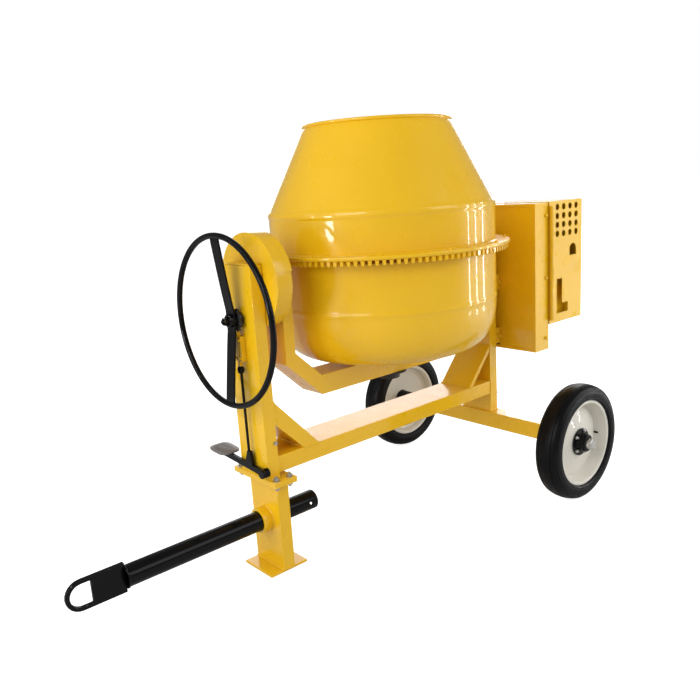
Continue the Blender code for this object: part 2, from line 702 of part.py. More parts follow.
def make_yoke():
    """The tilting yoke: a box-section U under the drum, with a trunnion on each arm."""
    top = TILT_Z + ARM_ABOVE_AXIS
    yoke = plate("yoke_frame", "yoke", [yoke_outline(0, top)], YOKE_WIDTH, (0, 0, 0), ALONG_Y, YELLOW)
    inside = YOKE_WIDTH - 2 * TUBE_WALL
    hollow = yoke_outline(TUBE_WALL, top + TUBE_WALL)
    cut(yoke, plate_cutter("yoke_space", "yoke", hollow, inside, (0, 0, 0), ALONG_Y))
    middle = (CROSS_TOP + CROSS_BOTTOM) / 2
    cut_round(yoke, "yoke", HOUSING_RADIUS + GAP, (DRUM_X, 0, middle), 2 * CROSS_HEIGHT, ALONG_Z)
    arm = YOKE_BACK - ARM_DEPTH / 2
    cut_round(yoke, "yoke", bore(DRIVE_SHAFT_RADIUS), (arm, 0, TILT_Z), 2 * ARM_DEPTH, ALONG_X)
    shaft_end = COLUMN_FRONT + TUBE_WALL + GAP
    face = YOKE_FRONT - GAP
    shoulder = face - TRUNNION_FLANGE
    profile = [
        (0, face), (TRUNNION_FLANGE_RADIUS, face), (TRUNNION_FLANGE_RADIUS, shoulder),
        (FRONT_TRUNNION_RADIUS, shoulder), (FRONT_TRUNNION_RADIUS, shaft_end), (0, shaft_end),
    ]
    turned("front_trunnion", "yoke", profile, (0, 0, TILT_Z), ALONG_X, STEEL, closed=False)
    start = YOKE_BACK + GAP
    end = POST_BACK + 0.002
    inner = bore(DRIVE_SHAFT_RADIUS)
    outer = REAR_TRUNNION_RADIUS
    profile = [(outer, end), (outer, start), (inner, start), (inner, end)]
    turned("rear_trunnion", "yoke", profile, (0, 0, TILT_Z), ALONG_X, STEEL)


def make_spindle_housing():
    """The bearing housing that passes up through the yoke's cross tube."""
    top = CROSS_TOP
    inner = bore(SPINDLE_RADIUS)
    seat = CROSS_BOTTOM - GAP
    bottom = seat - HOUSING_FLANGE
    profile = [
        (HOUSING_RADIUS, top), (HOUSING_RADIUS, seat), (HOUSING_FLANGE_RADIUS, seat),
        (HOUSING_FLANGE_RADIUS, bottom), (inner, bottom), (inner, top),
    ]
    turned("spindle_housing", "yoke", profile, (DRUM_X, 0, 0), ALONG_Z, CAST)


def make_tilt_gears():
    """The tilting gear on the front trunnion and the pinion that the handwheel shaft turns under it."""
    centre_x = TILT_GEAR_START + TILT_GEAR_LENGTH / 2
    depth = 2.25 * TILT_MODULE / 2
    for name, body, teeth, shaft, height, start in (
        ("tilt_gear", "yoke", TILT_GEAR_TEETH, FRONT_TRUNNION_RADIUS, TILT_Z, -math.pi / 2),
        ("tilt_pinion", "handwheel_body", TILT_PINION_TEETH, HAND_SHAFT_RADIUS, SHAFT_Z, math.pi / 2),
    ):
        pitch = TILT_MODULE * teeth / 2
        tip = pitch - TOOTH_CLEARANCE
        outline = gear_outline(teeth, tip, tip - depth, 0.7, start)
        hole = circle(bore(shaft))
        plate(name, body, [outline, hole], TILT_GEAR_LENGTH, (centre_x, 0, height), ALONG_X, CAST)


def make_gear_guard():
    """The round pan over the tilting gears and the half-round hood that laps over its top."""
    web = COLUMN_BACK + GAP + SHEET + GAP
    inner = FRONT_TRUNNION_RADIUS + 0.004
    outer = GUARD_RADIUS
    profile = [
        (outer, GUARD_BACK), (outer, web), (inner, web), (inner, web + SHEET),
        (outer - SHEET, web + SHEET), (outer - SHEET, GUARD_BACK),
    ]
    guard = turned("gear_guard", "chassis", profile, (0, 0, TILT_Z), ALONG_X, YELLOW, sides=BIG_ROUND)
    hole = bore(HAND_SHAFT_RADIUS) + 0.001
    cut_round(guard, "chassis", hole, (web, 0, SHAFT_Z), 4 * SHEET, ALONG_X)
    front = COLUMN_BACK + GAP
    rim = outer + GAP + 0.0004
    back = GUARD_BACK + 0.003
    profile = [
        (rim + SHEET, back), (rim + SHEET, front), (inner, front), (inner, front + SHEET),
        (rim, front + SHEET), (rim, back),
    ]
    hood = turned("gear_hood", "chassis", profile, (0, 0, TILT_Z), ALONG_X, YELLOW, sides=BIG_ROUND)
    reach = rim + 2 * SHEET
    low = (front - SHEET, -reach, TILT_Z - reach)
    high = (back + SHEET, reach, TILT_Z + HOOD_LIP_RISE)
    cut_box(hood, "chassis", low, high)


def make_handwheel():
    """The dished two-spoke handwheel, its shaft and the notched disc that the pedal lock catches."""
    hub_x = HANDWHEEL_PLANE
    rim_x = HANDWHEEL_PLANE - HANDWHEEL_DISH
    ring = [(HANDWHEEL_RADIUS - HANDWHEEL_BAR + x, y) for x, y in reversed(circle(HANDWHEEL_BAR, 8))]
    wheel = turned("handwheel", "handwheel_body", ring, (rim_x, 0, SHAFT_Z), ALONG_X, BLACK, sides=40)
    reach = HANDWHEEL_RADIUS - HANDWHEEL_BAR
    half = SPOKE_THICKNESS / 2
    middle = HUB_RADIUS + 0.012
    front = [(rim_x - half, reach), (hub_x - half, middle), (hub_x - half, -middle), (rim_x - half, -reach)]
    back = [(x + SPOKE_THICKNESS, z) for x, z in reversed(front)]
    centre = (0, 0, SHAFT_Z)
    spokes = plate_cutter("handwheel_spokes", "handwheel_body", front + back, SPOKE_WIDTH, centre, ALONG_Y)
    join(wheel, spokes)
    hub_mesh = cylinder_mesh(HUB_RADIUS, 2 * HUB_HALF_LENGTH, ROUND)
    place = Matrix.Translation((hub_x, 0, SHAFT_Z)) @ ALONG_X
    join(wheel, add_object("handwheel_hub", hub_mesh, "handwheel_body", place, cutter=True))
    shaft_front = hub_x - HUB_HALF_LENGTH + 0.004
    shaft_back = TILT_GEAR_START + TILT_GEAR_LENGTH + 0.002
    hole_middle = (shaft_front + hub_x + HUB_HALF_LENGTH) / 2
    hole_length = 2 * (hub_x + HUB_HALF_LENGTH - hole_middle) + 2 * GAP
    hole_centre = (hole_middle, 0, SHAFT_Z)
    cut_round(wheel, "handwheel_body", bore(HAND_SHAFT_RADIUS), hole_centre, hole_length, ALONG_X)
    start = (shaft_front + GAP, 0, SHAFT_Z)
    rod("handwheel_shaft", "handwheel_body", HAND_SHAFT_RADIUS, start, (shaft_back, 0, SHAFT_Z), STEEL)
    outer = LOCK_DISC_RADIUS
    notch_turn = -math.pi / 2 + math.pi / LOCK_NOTCHES
    outline = gear_outline(LOCK_NOTCHES, outer, outer - LOCK_NOTCH_DEPTH, 0.62, notch_turn)
    centre = (LOCK_DISC_FRONT + LOCK_DISC / 2, 0, SHAFT_Z)
    holes = circle(bore(HAND_SHAFT_RADIUS))
    plate("lock_disc", "handwheel_body", [outline, holes], LOCK_DISC, centre, ALONG_X, CAST)


def pedal_frame():
    """Local frame of the pedal arm: along X out of the column, Y along the arm, Z up from it."""
    pivot = (COLUMN_FRONT - PEDAL_STANDOFF, PEDAL_Y, PEDAL_Z)
    return Matrix.Translation(pivot) @ Matrix.Rotation(PEDAL_SLOPE, 4, "X")


def make_pedal():
    """The foot pedal that pulls the lock down: arm with its lug, pad, and the pin it swings on."""
    half = PEDAL_ARM_HEIGHT / 2
    lug = PEDAL_LUG_AT
    outline = [
        (-0.012, -half), (PEDAL_ARM_LENGTH, -half), (PEDAL_ARM_LENGTH, half), (lug + 0.020, half),
        (lug + 0.007, PEDAL_LUG_RISE), (lug - 0.007, PEDAL_LUG_RISE), (lug - 0.016, half), (-0.012, half),
    ]
    place = pedal_frame() @ ALONG_X
    hole = circle(bore(PEDAL_PIN_RADIUS), 16)
    mesh = outline_mesh([outline, hole], PEDAL_ARM_THICKNESS)
    add_object("pedal_arm", mesh, "pedal", place, BLACK)
    pad_middle = (0, PEDAL_ARM_LENGTH - PAD_LENGTH / 2 + 0.020, half + GAP + PAD_THICKNESS / 2)
    pad_mesh, _ = box_mesh((-PAD_WIDTH / 2, -PAD_LENGTH / 2, -PAD_THICKNESS / 2),
                           (PAD_WIDTH / 2, PAD_LENGTH / 2, PAD_THICKNESS / 2))
    add_object("pedal_pad", pad_mesh, "pedal", pedal_frame() @ Matrix.Translation(pad_middle), GREY)
    column = COLUMN_FRONT - GAP
    arm_back = COLUMN_FRONT - PEDAL_STANDOFF + PEDAL_ARM_THICKNESS / 2 + GAP
    arm_front = COLUMN_FRONT - PEDAL_STANDOFF - PEDAL_ARM_THICKNESS / 2 - GAP
    collar = 2 * PEDAL_PIN_RADIUS
    head = arm_front - 0.006
    profile = [
        (0, column), (collar, column), (collar, arm_back), (PEDAL_PIN_RADIUS, arm_back),
        (PEDAL_PIN_RADIUS, arm_front), (collar, arm_front), (collar, head), (0, head),
    ]
    turned("pedal_pin", "chassis", profile, (0, PEDAL_Y, PEDAL_Z), ALONG_X, BLACK, closed=False, sides=16)


def make_lock():
    """The rod that the pedal moves, with its knob and pawl, and the channel that guides the pawl."""
    rod_x = COLUMN_FRONT - PEDAL_STANDOFF
    pawl_top = SHAFT_Z - LOCK_DISC_RADIUS - PAWL_CLEARANCE
    knob_top = GUIDE_BOTTOM - 0.014
    knob_bottom = knob_top - KNOB_LENGTH
    lug_top = pedal_frame() @ Vector((0, PEDAL_LUG_AT + 0.007, PEDAL_LUG_RISE))
    bottom = lug_top.z + GAP
    profile = [
        (0, knob_top), (KNOB_RADIUS * 0.7, knob_top), (KNOB_RADIUS, knob_top - 0.005),
        (KNOB_RADIUS, knob_bottom + 0.005), (ROD_RADIUS, knob_bottom), (ROD_RADIUS, bottom), (0, bottom),
    ]
    lock = turned("lock_rod", "lock", profile, (rod_x, 0, 0), ALONG_Z, BLACK, closed=False, sides=12)
    half = PAWL_DEPTH / 2
    low = (rod_x - half, -PAWL_HALF_WIDTH, knob_top - 0.004)
    mesh, place = box_mesh(low, (rod_x + half, PAWL_HALF_WIDTH, pawl_top))
    join(lock, add_object("lock_pawl", mesh, "lock", place, cutter=True))
    back = COLUMN_FRONT - GAP
    slot_back = rod_x + half + GAP
    front = rod_x - half + 0.002
    slot = PAWL_HALF_WIDTH + GAP
    wide = GUIDE_HALF_WIDTH
    outline = [
        (back, -wide), (back, wide), (front, wide), (front, slot),
        (slot_back, slot), (slot_back, -slot), (front, -slot), (front, -wide),
    ]
    height = GUIDE_TOP - GUIDE_BOTTOM
    centre = (0, 0, (GUIDE_TOP + GUIDE_BOTTOM) / 2)
    plate("lock_guide", "chassis", [outline], height, centre, ALONG_Z, YELLOW)


def make_tow_bar():
    """The tow tube that slides in its sleeve, and the forged eye on its end."""
    inner = TOW_RADIUS - TOW_WALL
    start = TOW_FRONT + GAP
    profile = [(TOW_RADIUS, TOW_BACK), (TOW_RADIUS, start), (inner, start), (inner, TOW_BACK)]
    tube = turned("tow_tube", "tow", profile, (0, 0, TOW_Z), ALONG_X, BLACK)
    cut_round(tube, "tow", PIN_HOLE_RADIUS, (TOW_BACK - PIN_HOLE_INSET, 0, TOW_Z), 3 * TOW_RADIUS, ALONG_Y, 12)
    height = HITCH_HALF_HEIGHT
    nose = EYE_FRONT + height
    arc = [math.pi / 2 + math.pi * step / 12 for step in range(13)]
    outline = [(TOW_FRONT, -height), (TOW_FRONT, height)]
    outline += [(nose + height * math.cos(angle), height * math.sin(angle)) for angle in arc]
    inner = height - EYE_RIM
    eye_back = EYE_FRONT + EYE_RIM + EYE_LENGTH
    eye = [(eye_back, -inner), (eye_back, inner)]
    eye += [(nose + inner * math.cos(angle), inner * math.sin(angle)) for angle in arc]
    plate("tow_hitch", "tow", [outline, eye], HITCH_THICKNESS, (0, 0, TOW_Z), ALONG_Y, BLACK)


def make_drum_shells():
    """The bowl below the ring gear and the cylinder and cone above it."""
    radius = DRUM_RADIUS
    profile = [
        (radius, SEAM_Z), (radius, BELLY_Z), (radius - 0.005, BELLY_Z - 0.055),
        (radius - 0.020, BELLY_Z - 0.110), (radius - 0.054, BELLY_Z - 0.148),
        (radius * 0.65, BOWL_BOTTOM + 0.007), (SPINDLE_FLANGE_RADIUS + 0.020, BOWL_BOTTOM), (0, BOWL_BOTTOM),
    ]
    place = (DRUM_X, 0, 0)
    bowl = turned("drum_bowl", "drum", profile, place, ALONG_Z, YELLOW, closed=False, sides=BIG_ROUND)
    shell = bowl.modifiers.new("wall", "SOLIDIFY")
    shell.thickness = DRUM_WALL
    shell.offset = -1
    bead = MOUTH_RADIUS + MOUTH_BEAD
    inner = radius - DRUM_WALL
    neck = MOUTH_RADIUS - DRUM_WALL
    profile = [
        (bead, MOUTH_Z), (bead, MOUTH_Z - 0.009), (MOUTH_RADIUS + 0.003, MOUTH_Z - 0.012),
        (radius - 0.003, SHOULDER_Z + 0.006), (radius, SHOULDER_Z - 0.008), (radius, SEAM_Z + GAP),
        (inner, SEAM_Z + GAP), (inner, SHOULDER_Z - 0.010), (inner - 0.003, SHOULDER_Z + 0.002),
        (neck, MOUTH_Z - 0.012), (neck, MOUTH_Z),
    ]
    turned("drum_cone", "drum", profile, place, ALONG_Z, YELLOW, sides=BIG_ROUND)


def make_ring_gear():
    """The crown ring round the drum, with its teeth pointing down at the pinion."""
    inner = DRUM_RADIUS + GAP
    outer = RING_RADIUS
    tooth_in = inner + RING_TOOTH_INSET
    tooth_out = outer - RING_TOOTH_INSET
    root = RING_TIP_Z + RING_TOOTH_HEIGHT
    section = [
        (inner, RING_TOP), (outer, RING_TOP), (outer, root + 0.003), (tooth_out, root),
        (tooth_in, root), (inner, root + 0.003),
    ]
    steps = 2 * RING_TEETH

    def build(work):
        corners = [work.verts.new((radius, 0, height)) for radius, height in section]
        edges = [work.edges.new((a, b)) for a, b in zip(corners, corners[1:] + corners[:1])]
        bmesh.ops.spin(work, geom=corners + edges, axis=(0, 0, 1), cent=(0, 0, 0), dvec=(0, 0, 0),
                       angle=2 * math.pi, steps=steps, use_merge=True)
        bmesh.ops.recalc_face_normals(work, faces=work.faces)
        below = [face for face in work.faces if abs(face.calc_center_median().z - root) < 0.0005]
        step = 2 * math.pi / steps
        teeth = []
        for face in below:
            middle = face.calc_center_median()
            turn = math.atan2(middle.y, middle.x) % (2 * math.pi)
            if int(turn / step) % 2 == 0:
                teeth.append(face)
        made = bmesh.ops.extrude_face_region(work, geom=teeth)
        lowered = [item for item in made["geom"] if isinstance(item, bmesh.types.BMVert)]
        bmesh.ops.translate(work, verts=lowered, vec=(0, 0, -RING_TOOTH_HEIGHT))
        bmesh.ops.delete(work, geom=teeth, context="FACES_ONLY")

    add_object("ring_gear", mesh_from(build), "drum", Matrix.Translation((DRUM_X, 0, 0)), YELLOW)


def make_drum_fittings():
    """The spindle flange under the bowl and the two mixing blades on its wall."""
    top = BOWL_BOTTOM - GAP
    face = top - SPINDLE_FLANGE
    nut = CROSS_BOTTOM - GAP - HOUSING_FLANGE - GAP
    end = nut - SPINDLE_NUT
    profile = [
        (0, top), (SPINDLE_FLANGE_RADIUS, top), (SPINDLE_FLANGE_RADIUS, face), (SPINDLE_RADIUS, face),
        (SPINDLE_RADIUS, nut), (SPINDLE_NUT_RADIUS, nut), (SPINDLE_NUT_RADIUS, end), (0, end),
    ]
    turned("drum_spindle", "drum", profile, (DRUM_X, 0, 0), ALONG_Z, CAST, closed=False)
    facet = math.pi / BIG_ROUND
    wall = (DRUM_RADIUS - DRUM_WALL) * math.cos(facet) - GAP
    bottom = BELLY_Z + 0.010
    half = BLADE_THICKNESS / 2
    for number in (1, 2):
        turn = 5 * facet + math.pi * (number - 1)
        mesh, centre = box_mesh((wall - BLADE_WIDTH, -half, bottom), (wall, half, bottom + BLADE_HEIGHT))
        place = Matrix.Translation((DRUM_X, 0, 0)) @ Matrix.Rotation(turn, 4, "Z") @ centre
        add_object(f"mixing_blade_{number}", mesh, "drum", place, YELLOW)


def make_drive():
    """The drive shaft through the hollow trunnion, with the drum pinion and the large belt pulley."""
    start = DRUM_X + RING_PITCH - PINION_LENGTH / 2
    shaft_start = (start - DRIVE_SHAFT_STUB, 0, TILT_Z)
    shaft_end = (PULLEY_X + PULLEY_WIDTH / 2 + 0.006, 0, TILT_Z)
    rod("drive_shaft", "drive", DRIVE_SHAFT_RADIUS, shaft_start, shaft_end, STEEL)
    tip = PINION_PITCH - TOOTH_CLEARANCE
    outline = gear_outline(PINION_TEETH, tip, tip - 0.008, 0.7, math.pi / 2)
    hole = circle(bore(DRIVE_SHAFT_RADIUS))
    centre = (DRUM_X + RING_PITCH, 0, TILT_Z)
    plate("drive_pinion", "drive", [outline, hole], PINION_LENGTH, centre, ALONG_X, CAST)
    half = PULLEY_WIDTH / 2
    groove = GROOVE_WIDTH / 2
    outer = DRIVEN_PULLEY_RADIUS
    root = outer - GROOVE_DEPTH
    hub = 2 * DRIVE_SHAFT_RADIUS
    inner = bore(DRIVE_SHAFT_RADIUS)
    rim = root - 0.012
    profile = [
        (outer, half), (outer, groove), (root, groove), (root, -groove), (outer, -groove), (outer, -half),
        (rim, -half), (rim, -0.004), (hub, -0.004), (hub, -half), (inner, -half), (inner, half),
        (hub, half), (hub, 0.004), (rim, 0.004), (rim, half),
    ]
    turned("driven_pulley", "drive", profile, (PULLEY_X, 0, TILT_Z), ALONG_X, CAST, sides=36)
    outer = MOTOR_PULLEY_RADIUS
    root = outer - GROOVE_DEPTH
    shaft = MOTOR_SHAFT_RADIUS
    shaft_back = PLATE_BACK + MOTOR_SHAFT_DEPTH - PULLEY_X
    profile = [
        (0, shaft_back), (shaft, shaft_back), (shaft, half), (outer, half), (outer, groove), (root, groove),
        (root, -groove), (outer, -groove), (outer, -half), (0, -half),
    ]
    turned("motor_rotor", "rotor", profile, (PULLEY_X, 0, MOTOR_Z), ALONG_X, CAST, closed=False)


def belt_outline(offset):
    """The belt's run round both pulleys, at an offset from the bottom of their grooves."""
    upper = DRIVEN_PULLEY_RADIUS - GROOVE_DEPTH + offset
    lower = MOTOR_PULLEY_RADIUS - GROOVE_DEPTH + offset
    lean = math.asin((upper - lower) / MOTOR_DROP)
    points = []
    for step in range(25):
        angle = -lean + (math.pi + 2 * lean) * step / 24
        points.append((upper * math.cos(angle), TILT_Z + upper * math.sin(angle)))
    for step in range(13):
        angle = math.pi + lean + (math.pi - 2 * lean) * step / 12
        points.append((lower * math.cos(angle), MOTOR_Z + lower * math.sin(angle)))
    return points


def make_belt():
    """The V-belt, lying in both pulley grooves."""
    inner = 0.0012
    outlines = [belt_outline(GROOVE_DEPTH + BELT_PROUD), belt_outline(inner)]
    width = GROOVE_WIDTH - 4 * GAP
    plate("v_belt", "chassis", outlines, width, (PULLEY_X, 0, 0), ALONG_X, BELT)


def make_motor():
    """The motor and the plate that it is bolted to."""
    start = PLATE_BACK + GAP
    hole = bore(MOTOR_SHAFT_RADIUS)
    depth = start + MOTOR_SHAFT_DEPTH
    end = start + MOTOR_LENGTH
    profile = [
        (0, end), (MOTOR_RADIUS * 0.8, end), (MOTOR_RADIUS, end - 0.015), (MOTOR_RADIUS, start),
        (hole, start), (hole, depth), (0, depth),
    ]
    turned("motor_body", "chassis", profile, (0, 0, MOTOR_Z), ALONG_X, GREY, closed=False)
    half = CASE_WIDTH / 2
    low = (CASE_BACK + GAP, -half, CASE_BOTTOM)
    motor_plate = box("motor_plate", "chassis", low, (PLATE_BACK, half, CASE_TOP), YELLOW)
    middle = (PLATE_BACK, 0, MOTOR_Z)
    cut_round(motor_plate, "chassis", hole + 0.004, middle, 4 * MOTOR_PLATE, ALONG_X)


def make_belt_case():
    """The sheet-metal case round the belt and the two brackets that hold it off the rear column."""
    half = CASE_WIDTH / 2
    case = box("belt_case", "chassis", (CASE_FRONT, -half, CASE_BOTTOM), (CASE_BACK, half, CASE_TOP), YELLOW)
    low = (CASE_FRONT + SHEET, -half + SHEET, CASE_BOTTOM + SHEET)
    high = (CASE_BACK + SHEET, half - SHEET, CASE_TOP - SHEET)
    cut_box(case, "chassis", low, high)
    hole = bore(DRIVE_SHAFT_RADIUS) + 0.003
    cut_round(case, "chassis", hole, (CASE_FRONT, 0, TILT_Z), 4 * SHEET, ALONG_X)
    low_x = POST_BACK + GAP
    high_x = CASE_FRONT - GAP
    width = BEAM_WIDTH / 2 - 0.010
    for name, bottom in (("case_bracket_lower", CASE_BOTTOM + 0.020), ("case_bracket_upper", TILT_Z - 0.170)):
        low = (low_x, -width, bottom)
        box_tube(name, "chassis", low, (high_x, width, bottom + 0.060), 2, TUBE_WALL, YELLOW)


def make_hood():
    """The hinged hood over the motor, with its vents and slots, and its hinge barrel."""
    half = HOOD_WIDTH / 2
    top = CASE_TOP + SHEET
    low = (HOOD_FRONT, -half, HOOD_BOTTOM)
    hood = box("motor_hood", "hood", low, (HOOD_BACK, half, top), YELLOW)
    low = (HOOD_FRONT - SHEET, -half + SHEET, HOOD_BOTTOM + SHEET)
    cut_box(hood, "hood", low, (HOOD_BACK - SHEET, half - SHEET, top - SHEET))
    first_x = HOOD_FRONT + 0.052
    first_z = top - 0.022
    for column in range(VENT_ROWS):
        for row in range(VENT_ROWS):
            place = (first_x + column * VENT_PITCH_X, -half, first_z - row * VENT_PITCH_Z)
            cut_round(hood, "hood", VENT_RADIUS, place, 4 * SHEET, ALONG_Y, 10)
    arch_x = first_x + 2.5 * VENT_PITCH_X
    arch_z = CASE_TOP - 0.182
    arch = [(-ARCH_HALF, -ARCH_HALF), (ARCH_HALF, -ARCH_HALF)]
    turns = [math.pi * step / 8 for step in range(9)]
    arch += [(ARCH_HALF * math.cos(turn), ARCH_HALF * math.sin(turn)) for turn in turns]
    centre = (arch_x, -half, arch_z)
    cut(hood, plate_cutter("arch_slot", "hood", arch, 4 * SHEET, centre, ALONG_Y))
    half_width, half_height = SLOT_WIDTH / 2, SLOT_HEIGHT / 2
    inner = (SLOT_ARM - half_width, SLOT_ARM - half_height)
    slot = [
        (-half_width, -half_height), (half_width, -half_height), (half_width, inner[1]),
        inner, (inner[0], half_height), (-half_width, half_height),
    ]
    centre = (first_x + 0.034, -half, HOOD_BOTTOM + 0.098)
    cut(hood, plate_cutter("corner_slot", "hood", slot, 4 * SHEET, centre, ALONG_Y))
    axis_x = HOOD_FRONT + 0.004
    axis_y = -half - HINGE_REACH
    start = (axis_x, axis_y, HOOD_BOTTOM + 0.015)
    rod("hood_hinge", "chassis", HINGE_RADIUS, start, (axis_x, axis_y, top - 0.015), YELLOW, sides=12)


def main():
    """Build the mixer from the ground up."""
    clear_scene()
    make_collections()
    make_bodies()
    make_leg()
    make_flanges()
    make_front_column()
    make_beam()
    make_rear_column()
    make_axle()
    make_wheel("near", "near_wheel", -1)
    make_wheel("far", "far_wheel", 1)
    make_yoke()
    make_spindle_housing()
    make_tilt_gears()
    make_gear_guard()
    make_handwheel()
    make_pedal()
    make_lock()
    make_tow_bar()
    make_drum_shells()
    make_ring_gear()
    make_drum_fittings()
    make_drive()
    make_belt()
    make_motor()
    make_belt_case()
    make_hood()


main()
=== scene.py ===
"""Finish of the tilting-drum concrete mixer: paint, rubber, steel, welds, bolts, sheet and turned shells.

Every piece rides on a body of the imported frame, in metres, with X from the tow eye to the motor and Z up.
"""

import json
import math

import bmesh
import bpy
from mathutils import Matrix, Vector


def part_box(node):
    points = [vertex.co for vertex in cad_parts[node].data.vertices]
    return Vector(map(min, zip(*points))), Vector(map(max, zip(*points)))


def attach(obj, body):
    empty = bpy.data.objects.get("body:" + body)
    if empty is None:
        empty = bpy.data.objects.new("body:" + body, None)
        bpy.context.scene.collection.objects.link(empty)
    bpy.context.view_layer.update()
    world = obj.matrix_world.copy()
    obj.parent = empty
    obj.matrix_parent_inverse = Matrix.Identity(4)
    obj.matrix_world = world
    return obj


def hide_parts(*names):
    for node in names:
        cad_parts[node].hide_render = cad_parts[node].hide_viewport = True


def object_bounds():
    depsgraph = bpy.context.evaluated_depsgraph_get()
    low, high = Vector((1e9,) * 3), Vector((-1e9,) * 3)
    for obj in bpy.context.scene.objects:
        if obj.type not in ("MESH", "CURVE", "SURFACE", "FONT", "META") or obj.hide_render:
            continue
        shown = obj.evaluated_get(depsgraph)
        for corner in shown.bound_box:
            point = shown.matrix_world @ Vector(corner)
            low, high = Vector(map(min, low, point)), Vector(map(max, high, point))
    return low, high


bl_info = {
    "name": "Concrete Mixer Finish",
    "version": (1, 0, 0),
    "blender": (4, 5, 0),
    "location": "View3D > Sidebar > Mixer",
    "description": "Builds the shells, welds, bolts, wheels and studio of a tilting-drum concrete mixer",
    "category": "Object",
}

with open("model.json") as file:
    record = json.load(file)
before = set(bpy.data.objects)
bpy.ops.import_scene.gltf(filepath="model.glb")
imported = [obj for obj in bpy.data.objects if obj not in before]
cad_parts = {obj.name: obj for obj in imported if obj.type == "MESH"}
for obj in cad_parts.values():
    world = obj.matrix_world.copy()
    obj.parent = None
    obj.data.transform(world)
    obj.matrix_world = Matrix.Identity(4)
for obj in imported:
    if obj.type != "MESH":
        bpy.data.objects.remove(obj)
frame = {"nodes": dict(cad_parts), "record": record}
NODES = frame["nodes"]
BODIES = frame["record"]["behaviour"]["bodies"]
BODY_OF = {node: body for body, members in BODIES.items() for node in members}
CAD_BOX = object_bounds()
EDGE_LAYER = "edge_wear"
JOIN_DISTANCE = 0.00001

# Turns that lay local Z along an axis, or point it out of a face
ALONG_X = Matrix.Rotation(math.pi / 2, 4, "Z") @ Matrix.Rotation(math.pi / 2, 4, "X")
ALONG_Y = Matrix.Rotation(math.pi / 2, 4, "X")
FACING = {
    "+X": Matrix.Rotation(math.pi / 2, 4, "Y"),
    "-X": Matrix.Rotation(-math.pi / 2, 4, "Y"),
    "+Y": Matrix.Rotation(-math.pi / 2, 4, "X"),
    "-Y": Matrix.Rotation(math.pi / 2, 4, "X"),
    "+Z": Matrix(),
    "-Z": Matrix.Rotation(math.pi, 4, "X"),
}


def low(node):
    """The lowest corner of a frame node."""
    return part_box(node)[0]


def high(node):
    """The highest corner of a frame node."""
    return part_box(node)[1]


def centre(node):
    """The middle of a frame node's box."""
    return (low(node) + high(node)) / 2


def radius_of(node):
    """Half the height of a frame node's box."""
    return (high(node).z - low(node).z) / 2


# Places on the frame that several pieces share
DRUM_X = centre("drum_bowl").x
DRUM_RADIUS = (high("drum_bowl").x - low("drum_bowl").x) / 2
BOWL_BOTTOM = low("drum_bowl").z
SEAM_Z = high("drum_bowl").z
MOUTH_Z = high("drum_cone").z
TILT_Z = centre("front_trunnion").z
SHAFT_Z = centre("handwheel_shaft").z
AXLE_X = centre("rear_column").x
WHEEL_Z = centre("tyre_near").z
TOW_Z = centre("tow_tube").z
COLUMN_BACK = high("front_column").x
BEAM_TOP = high("main_beam").z
BEAM_BOTTOM = low("main_beam").z

# Places on the drum's shells that the frame's boxes don't give
DRUM_WALL = 0.004
BELLY_Z = TILT_Z - 0.121
SHOULDER_Z = TILT_Z + 0.171

# Strip lamps, each a turn round the drum in degrees, a distance, a height, a width and a length
STRIPS = (
    (-46, 3.0, 1.0, 0.06, 2.0), (-35, 3.0, 1.0, 0.06, 2.0), (-22, 3.1, 1.0, 0.06, 2.0),
    (160, 3.4, 1.0, 0.07, 1.6), (177, 3.4, 0.90, 0.46, 0.30), (175, 3.1, 2.90, 5.0, 0.06),
)
STRIP_AIM_TOP = 1.0


class MixerPaint(bpy.types.PropertyGroup):
    """Colours of the mixer's paints and rubbers."""

    yellow: bpy.props.FloatVectorProperty(
        name="Yellow", description="Gloss enamel of frame, drum and covers",
        subtype="COLOR", size=3, min=0, max=1, default=(0.88, 0.515, 0.006))
    black: bpy.props.FloatVectorProperty(
        name="Black", description="Gloss enamel of handwheel, pedal and tow bar",
        subtype="COLOR", size=3, min=0, max=1, default=(0.0030, 0.0030, 0.0038))
    cream: bpy.props.FloatVectorProperty(
        name="Cream", description="Enamel of the wheel discs",
        subtype="COLOR", size=3, min=0, max=1, default=(0.71, 0.68, 0.60))
    rubber: bpy.props.FloatVectorProperty(
        name="Rubber", description="Tyres and belt",
        subtype="COLOR", size=3, min=0, max=1, default=(0.0022, 0.0025, 0.0036))
    grey: bpy.props.FloatVectorProperty(
        name="Grey", description="Pedal pad and motor",
        subtype="COLOR", size=3, min=0, max=1, default=(0.20, 0.19, 0.19))


class MixerDetail(bpy.types.PropertyGroup):
    """Sizes of the details that the frame doesn't hold."""

    tube_round: bpy.props.FloatProperty(
        name="Tube Edge", description="Rounding of the box tubes' edges",
        unit="LENGTH", default=0.0022, min=0.0002, max=0.01)
    sheet_round: bpy.props.FloatProperty(
        name="Sheet Edge", description="Rounding of folded sheet edges",
        unit="LENGTH", default=0.0009, min=0.0001, max=0.005)
    bead: bpy.props.FloatProperty(
        name="Weld Bead", description="Radius of the weld beads",
        unit="LENGTH", default=0.0032, min=0.001, max=0.01)
    ridge: bpy.props.FloatProperty(
        name="Drum Ridge", description="How far the drum's rolled seams stand out",
        unit="LENGTH", default=0.0021, min=0.0, max=0.006)
    ring_teeth: bpy.props.IntProperty(
        name="Ring Teeth", description="Teeth of the crown ring on the drum",
        default=126, min=12, max=400)
    steps: bpy.props.IntProperty(
        name="Round Steps", description="Facets round the large turned shells",
        default=160, min=24, max=360)


